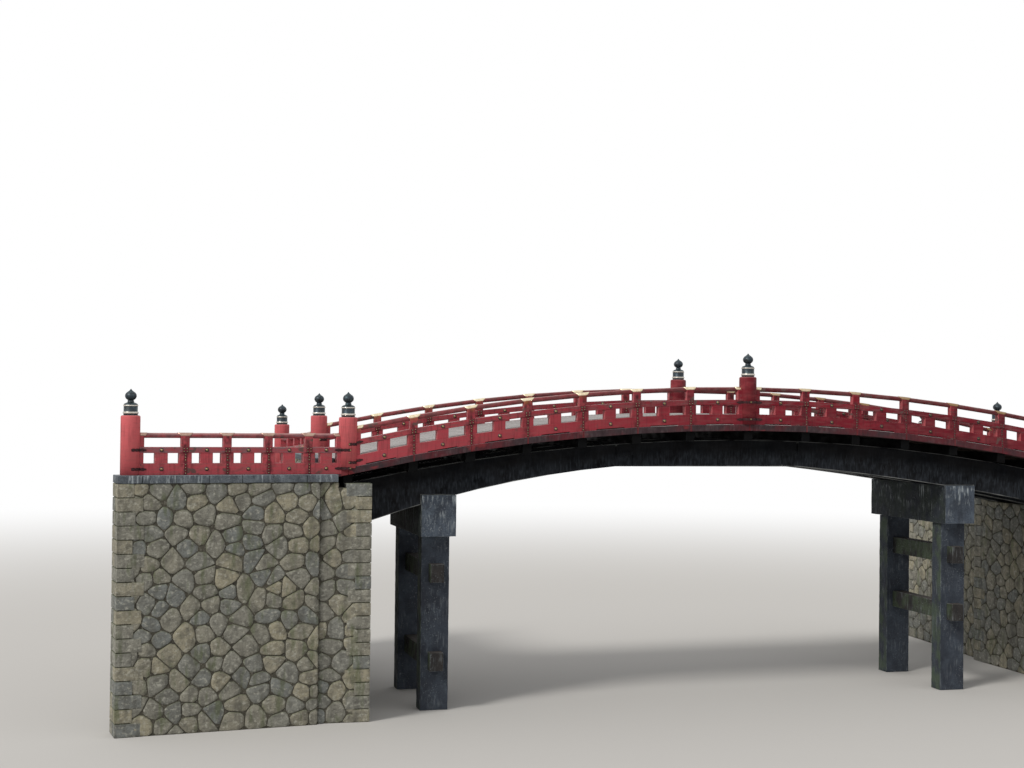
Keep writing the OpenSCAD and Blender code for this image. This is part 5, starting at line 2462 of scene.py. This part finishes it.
@dataclass
class Footbridge:
    """The whole bridge, sub-assembly by sub-assembly."""

    site: Site = field(default_factory=Site)
    fittings: Fittings = field(default_factory=Fittings)
    beam_arris: float = 0.026
    beam_weld: float = 0.03
    cross_arris: float = 0.012
    bearer_arris: float = 0.006
    sill_arris: float = 0.001

    def arch_railing(self, side: str, run: Run) -> None:
        """Makes the railing of the arch on one side.

        Args:
            side: "near" or "far".
            run: Its run.
        """
        half = self.site.span / 2
        railing = Railing(run, (-half, 0.0, half))
        c = railing.section
        lower, middle, struts, posts, sills = (Joinery() for _ in range(5))
        railing.slit_rail(lower, self.site.end_over)
        railing.rail(middle, c.middle, c.middle_half)
        railing.struts(struts)
        railing.posts(posts)
        railing.drain_sills(sills, SIDES[side])
        for timber, name, node, finish in (
            (lower, "lower_bars", "lower_rail", RED_LOWER),
            (middle, "middle_bars", "middle_rail", RED_MIDDLE),
            (struts, "strut_blocks", "struts", RED_STRUTS),
            (posts, "post_blocks", "small_posts", RED_STUBS),
        ):
            timber.show(f"{side}_{name}", c.arris, finish, (f"{side}_{node}",), run)
        sills.show(f"{side}_drain_sills", self.sill_arris, SILL_WOOD)
        railing.handrail(f"{side}_handrail_bars", RED_HANDRAIL, (f"{side}_handrail",))
        railing.saddles(f"{side}_gilt_saddles", GILT_COPPER, (f"{side}_saddles",))
        self.fittings.fit(railing)

    def wing_railing(self, name: str, run: Run) -> None:
        """Makes one wing railing.

        Args:
            name: Which wing it is.
            run: Its run.
        """
        near = name.startswith("near")
        finish, dusty = (RED_WINGS, DUSTY_WINGS) if near else (RED_FAR_WINGS, DUSTY_FAR_WINGS)
        railing = Railing(run, (run.marks[0], run.marks[-1]))
        c = railing.section
        timber, middle = Joinery(), Joinery()
        railing.rail(timber, c.lower, c.lower_half)
        railing.struts(timber)
        railing.posts(timber)
        railing.rail(middle, c.middle, c.middle_half)
        timber.show(f"{name}_wing_bars", c.arris, finish, (f"{name}_wing_railing",), run)
        middle.show(f"{name}_wing_middle_bars", c.arris, dusty, (), run)
        railing.handrail(f"{name}_wing_handrail", dusty)
        railing.saddles(f"{name}_wing_saddles", RUBBED_GILT)
        self.fittings.fit(railing)

    def round_posts(self, side: str, run: Run, wings: dict[str, Run]) -> None:
        """Makes the round posts of one side.

        Args:
            side: "near" or "far".
            run: Run of its railing on the arch.
            wings: Run of each wing.
        """
        half, foot_drop = self.site.span / 2, SECTION.lower[1]
        jobs = [(run, s, self.site.post_over) for s in (-half, 0.0, half)]
        for name, wing in wings.items():
            if name.startswith(side):
                jobs.append((wing, wing.marks[-1], self.site.wing_post_over))
        RoundPosts().build(side, [(r.at(s, 0.0, foot_drop), foot_drop + over) for r, s, over in jobs])

    def walls(self, wings: dict[str, Run]) -> None:
        """Lays the rubble and the corner stones of every wall and abutment.

        Args:
            wings: Run of each wing.
        """
        work = Masonry(41)
        for run in wings.values():
            self.wing_end(work, run)
        for side, end in ENDS.items():
            self.abutment_corners(work, f"{side}_abutment", end)
        for name, run in wings.items():
            side, end = name.split("_")
            hidden = (-EAST if run.along.x > 0 else EAST) if side == "near" else -FARWARD
            work.dress_node(end, f"{name}_wing_wall", (hidden,))
        for side in ENDS:
            work.dress_node(side, f"{side}_abutment", ())
        work.build()
        for node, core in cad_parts.items():
            if node.endswith(("_wing_wall", "_abutment")):
                core.data.materials.clear()
                core.data.materials.append(WALL_CORE.material())

    def wing_end(self, work: Masonry, run: Run) -> None:
        """Stacks dressed stones at the free end of a wing wall.

        Args:
            work: What the stones are added to.
            run: Run of the wing.
        """
        last, thickness = run.marks[-1], self.site.wall_thickness
        top = run.top(last) - SECTION.lower[1] - Copings.height
        foot = run.origin + run.along * (last + self.site.wall_past_post) - run.across * (thickness / 2)
        work.wall_end(foot, -run.along, run.across, thickness, top)

    def abutment_corners(self, work: Masonry, node: str, end: int) -> None:
        """Stacks corner stones at the face of an abutment, and at the back on the far side.

        Args:
            work: What the stones are added to.
            node: The abutment's CAD node.
            end: -1 for the west end of the bridge, 1 for the east.
        """
        low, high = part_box(node)
        face, back = (low.x, high.x) if end > 0 else (high.x, low.x)
        inward, top = EAST * end, self.site.abutment_height
        work.corner(Vector((face, low.y, 0.0)), inward, FARWARD, top)
        work.corner(Vector((face, high.y, 0.0)), inward, -FARWARD, top)
        work.corner(Vector((back, high.y, 0.0)), -inward, -FARWARD, top)

    def build(self) -> None:
        """Makes every sub-assembly."""
        site, half = self.site, self.site.span / 2
        arches = {side: site.arch_run(way) for side, way in SIDES.items()}
        wings = {
            f"{side}_{end}": site.wing_run(across, along)
            for side, across in SIDES.items()
            for end, along in ENDS.items()
        }
        straps = []
        for side, run in arches.items():
            self.arch_railing(side, run)
            EdgeBeams().build(side, run, site.end_over)
            self.round_posts(side, run, wings)
            straps += [(run, -half, 1), (run, 0.0, -1), (run, 0.0, 1), (run, half, -1)]
        for name, run in wings.items():
            self.wing_railing(name, run)
            straps += [(run, 0.0, 1), (run, run.marks[-1], -1)]
        Straps().build(self.fittings, straps)
        self.fittings.build()
        Deck().build(site)
        for part in ("west", "middle", "east"):
            node, name = f"{part}_main_beams", f"{part}_black_beams"
            eased_copy(node, name, self.beam_arris, BLACK_BEAMS, self.beam_weld)
        eased_copy("cross_beams", "black_cross_beams", self.cross_arris, SHADED_BLACK_CROSS)
        eased_copy("deck_bearers", "bare_bearers", self.bearer_arris, BEARER_WOOD)
        for side in ENDS:
            Piers().build(side)
        Copings().build(wings.values())
        Thresholds().build()
        self.walls(wings)


def main() -> None:
    """Builds the studio and the bridge."""
    logging.basicConfig(level=logging.INFO, format="%(message)s")
    Studio().build()
    Footbridge().build()


if __name__ == "__main__":
    main()
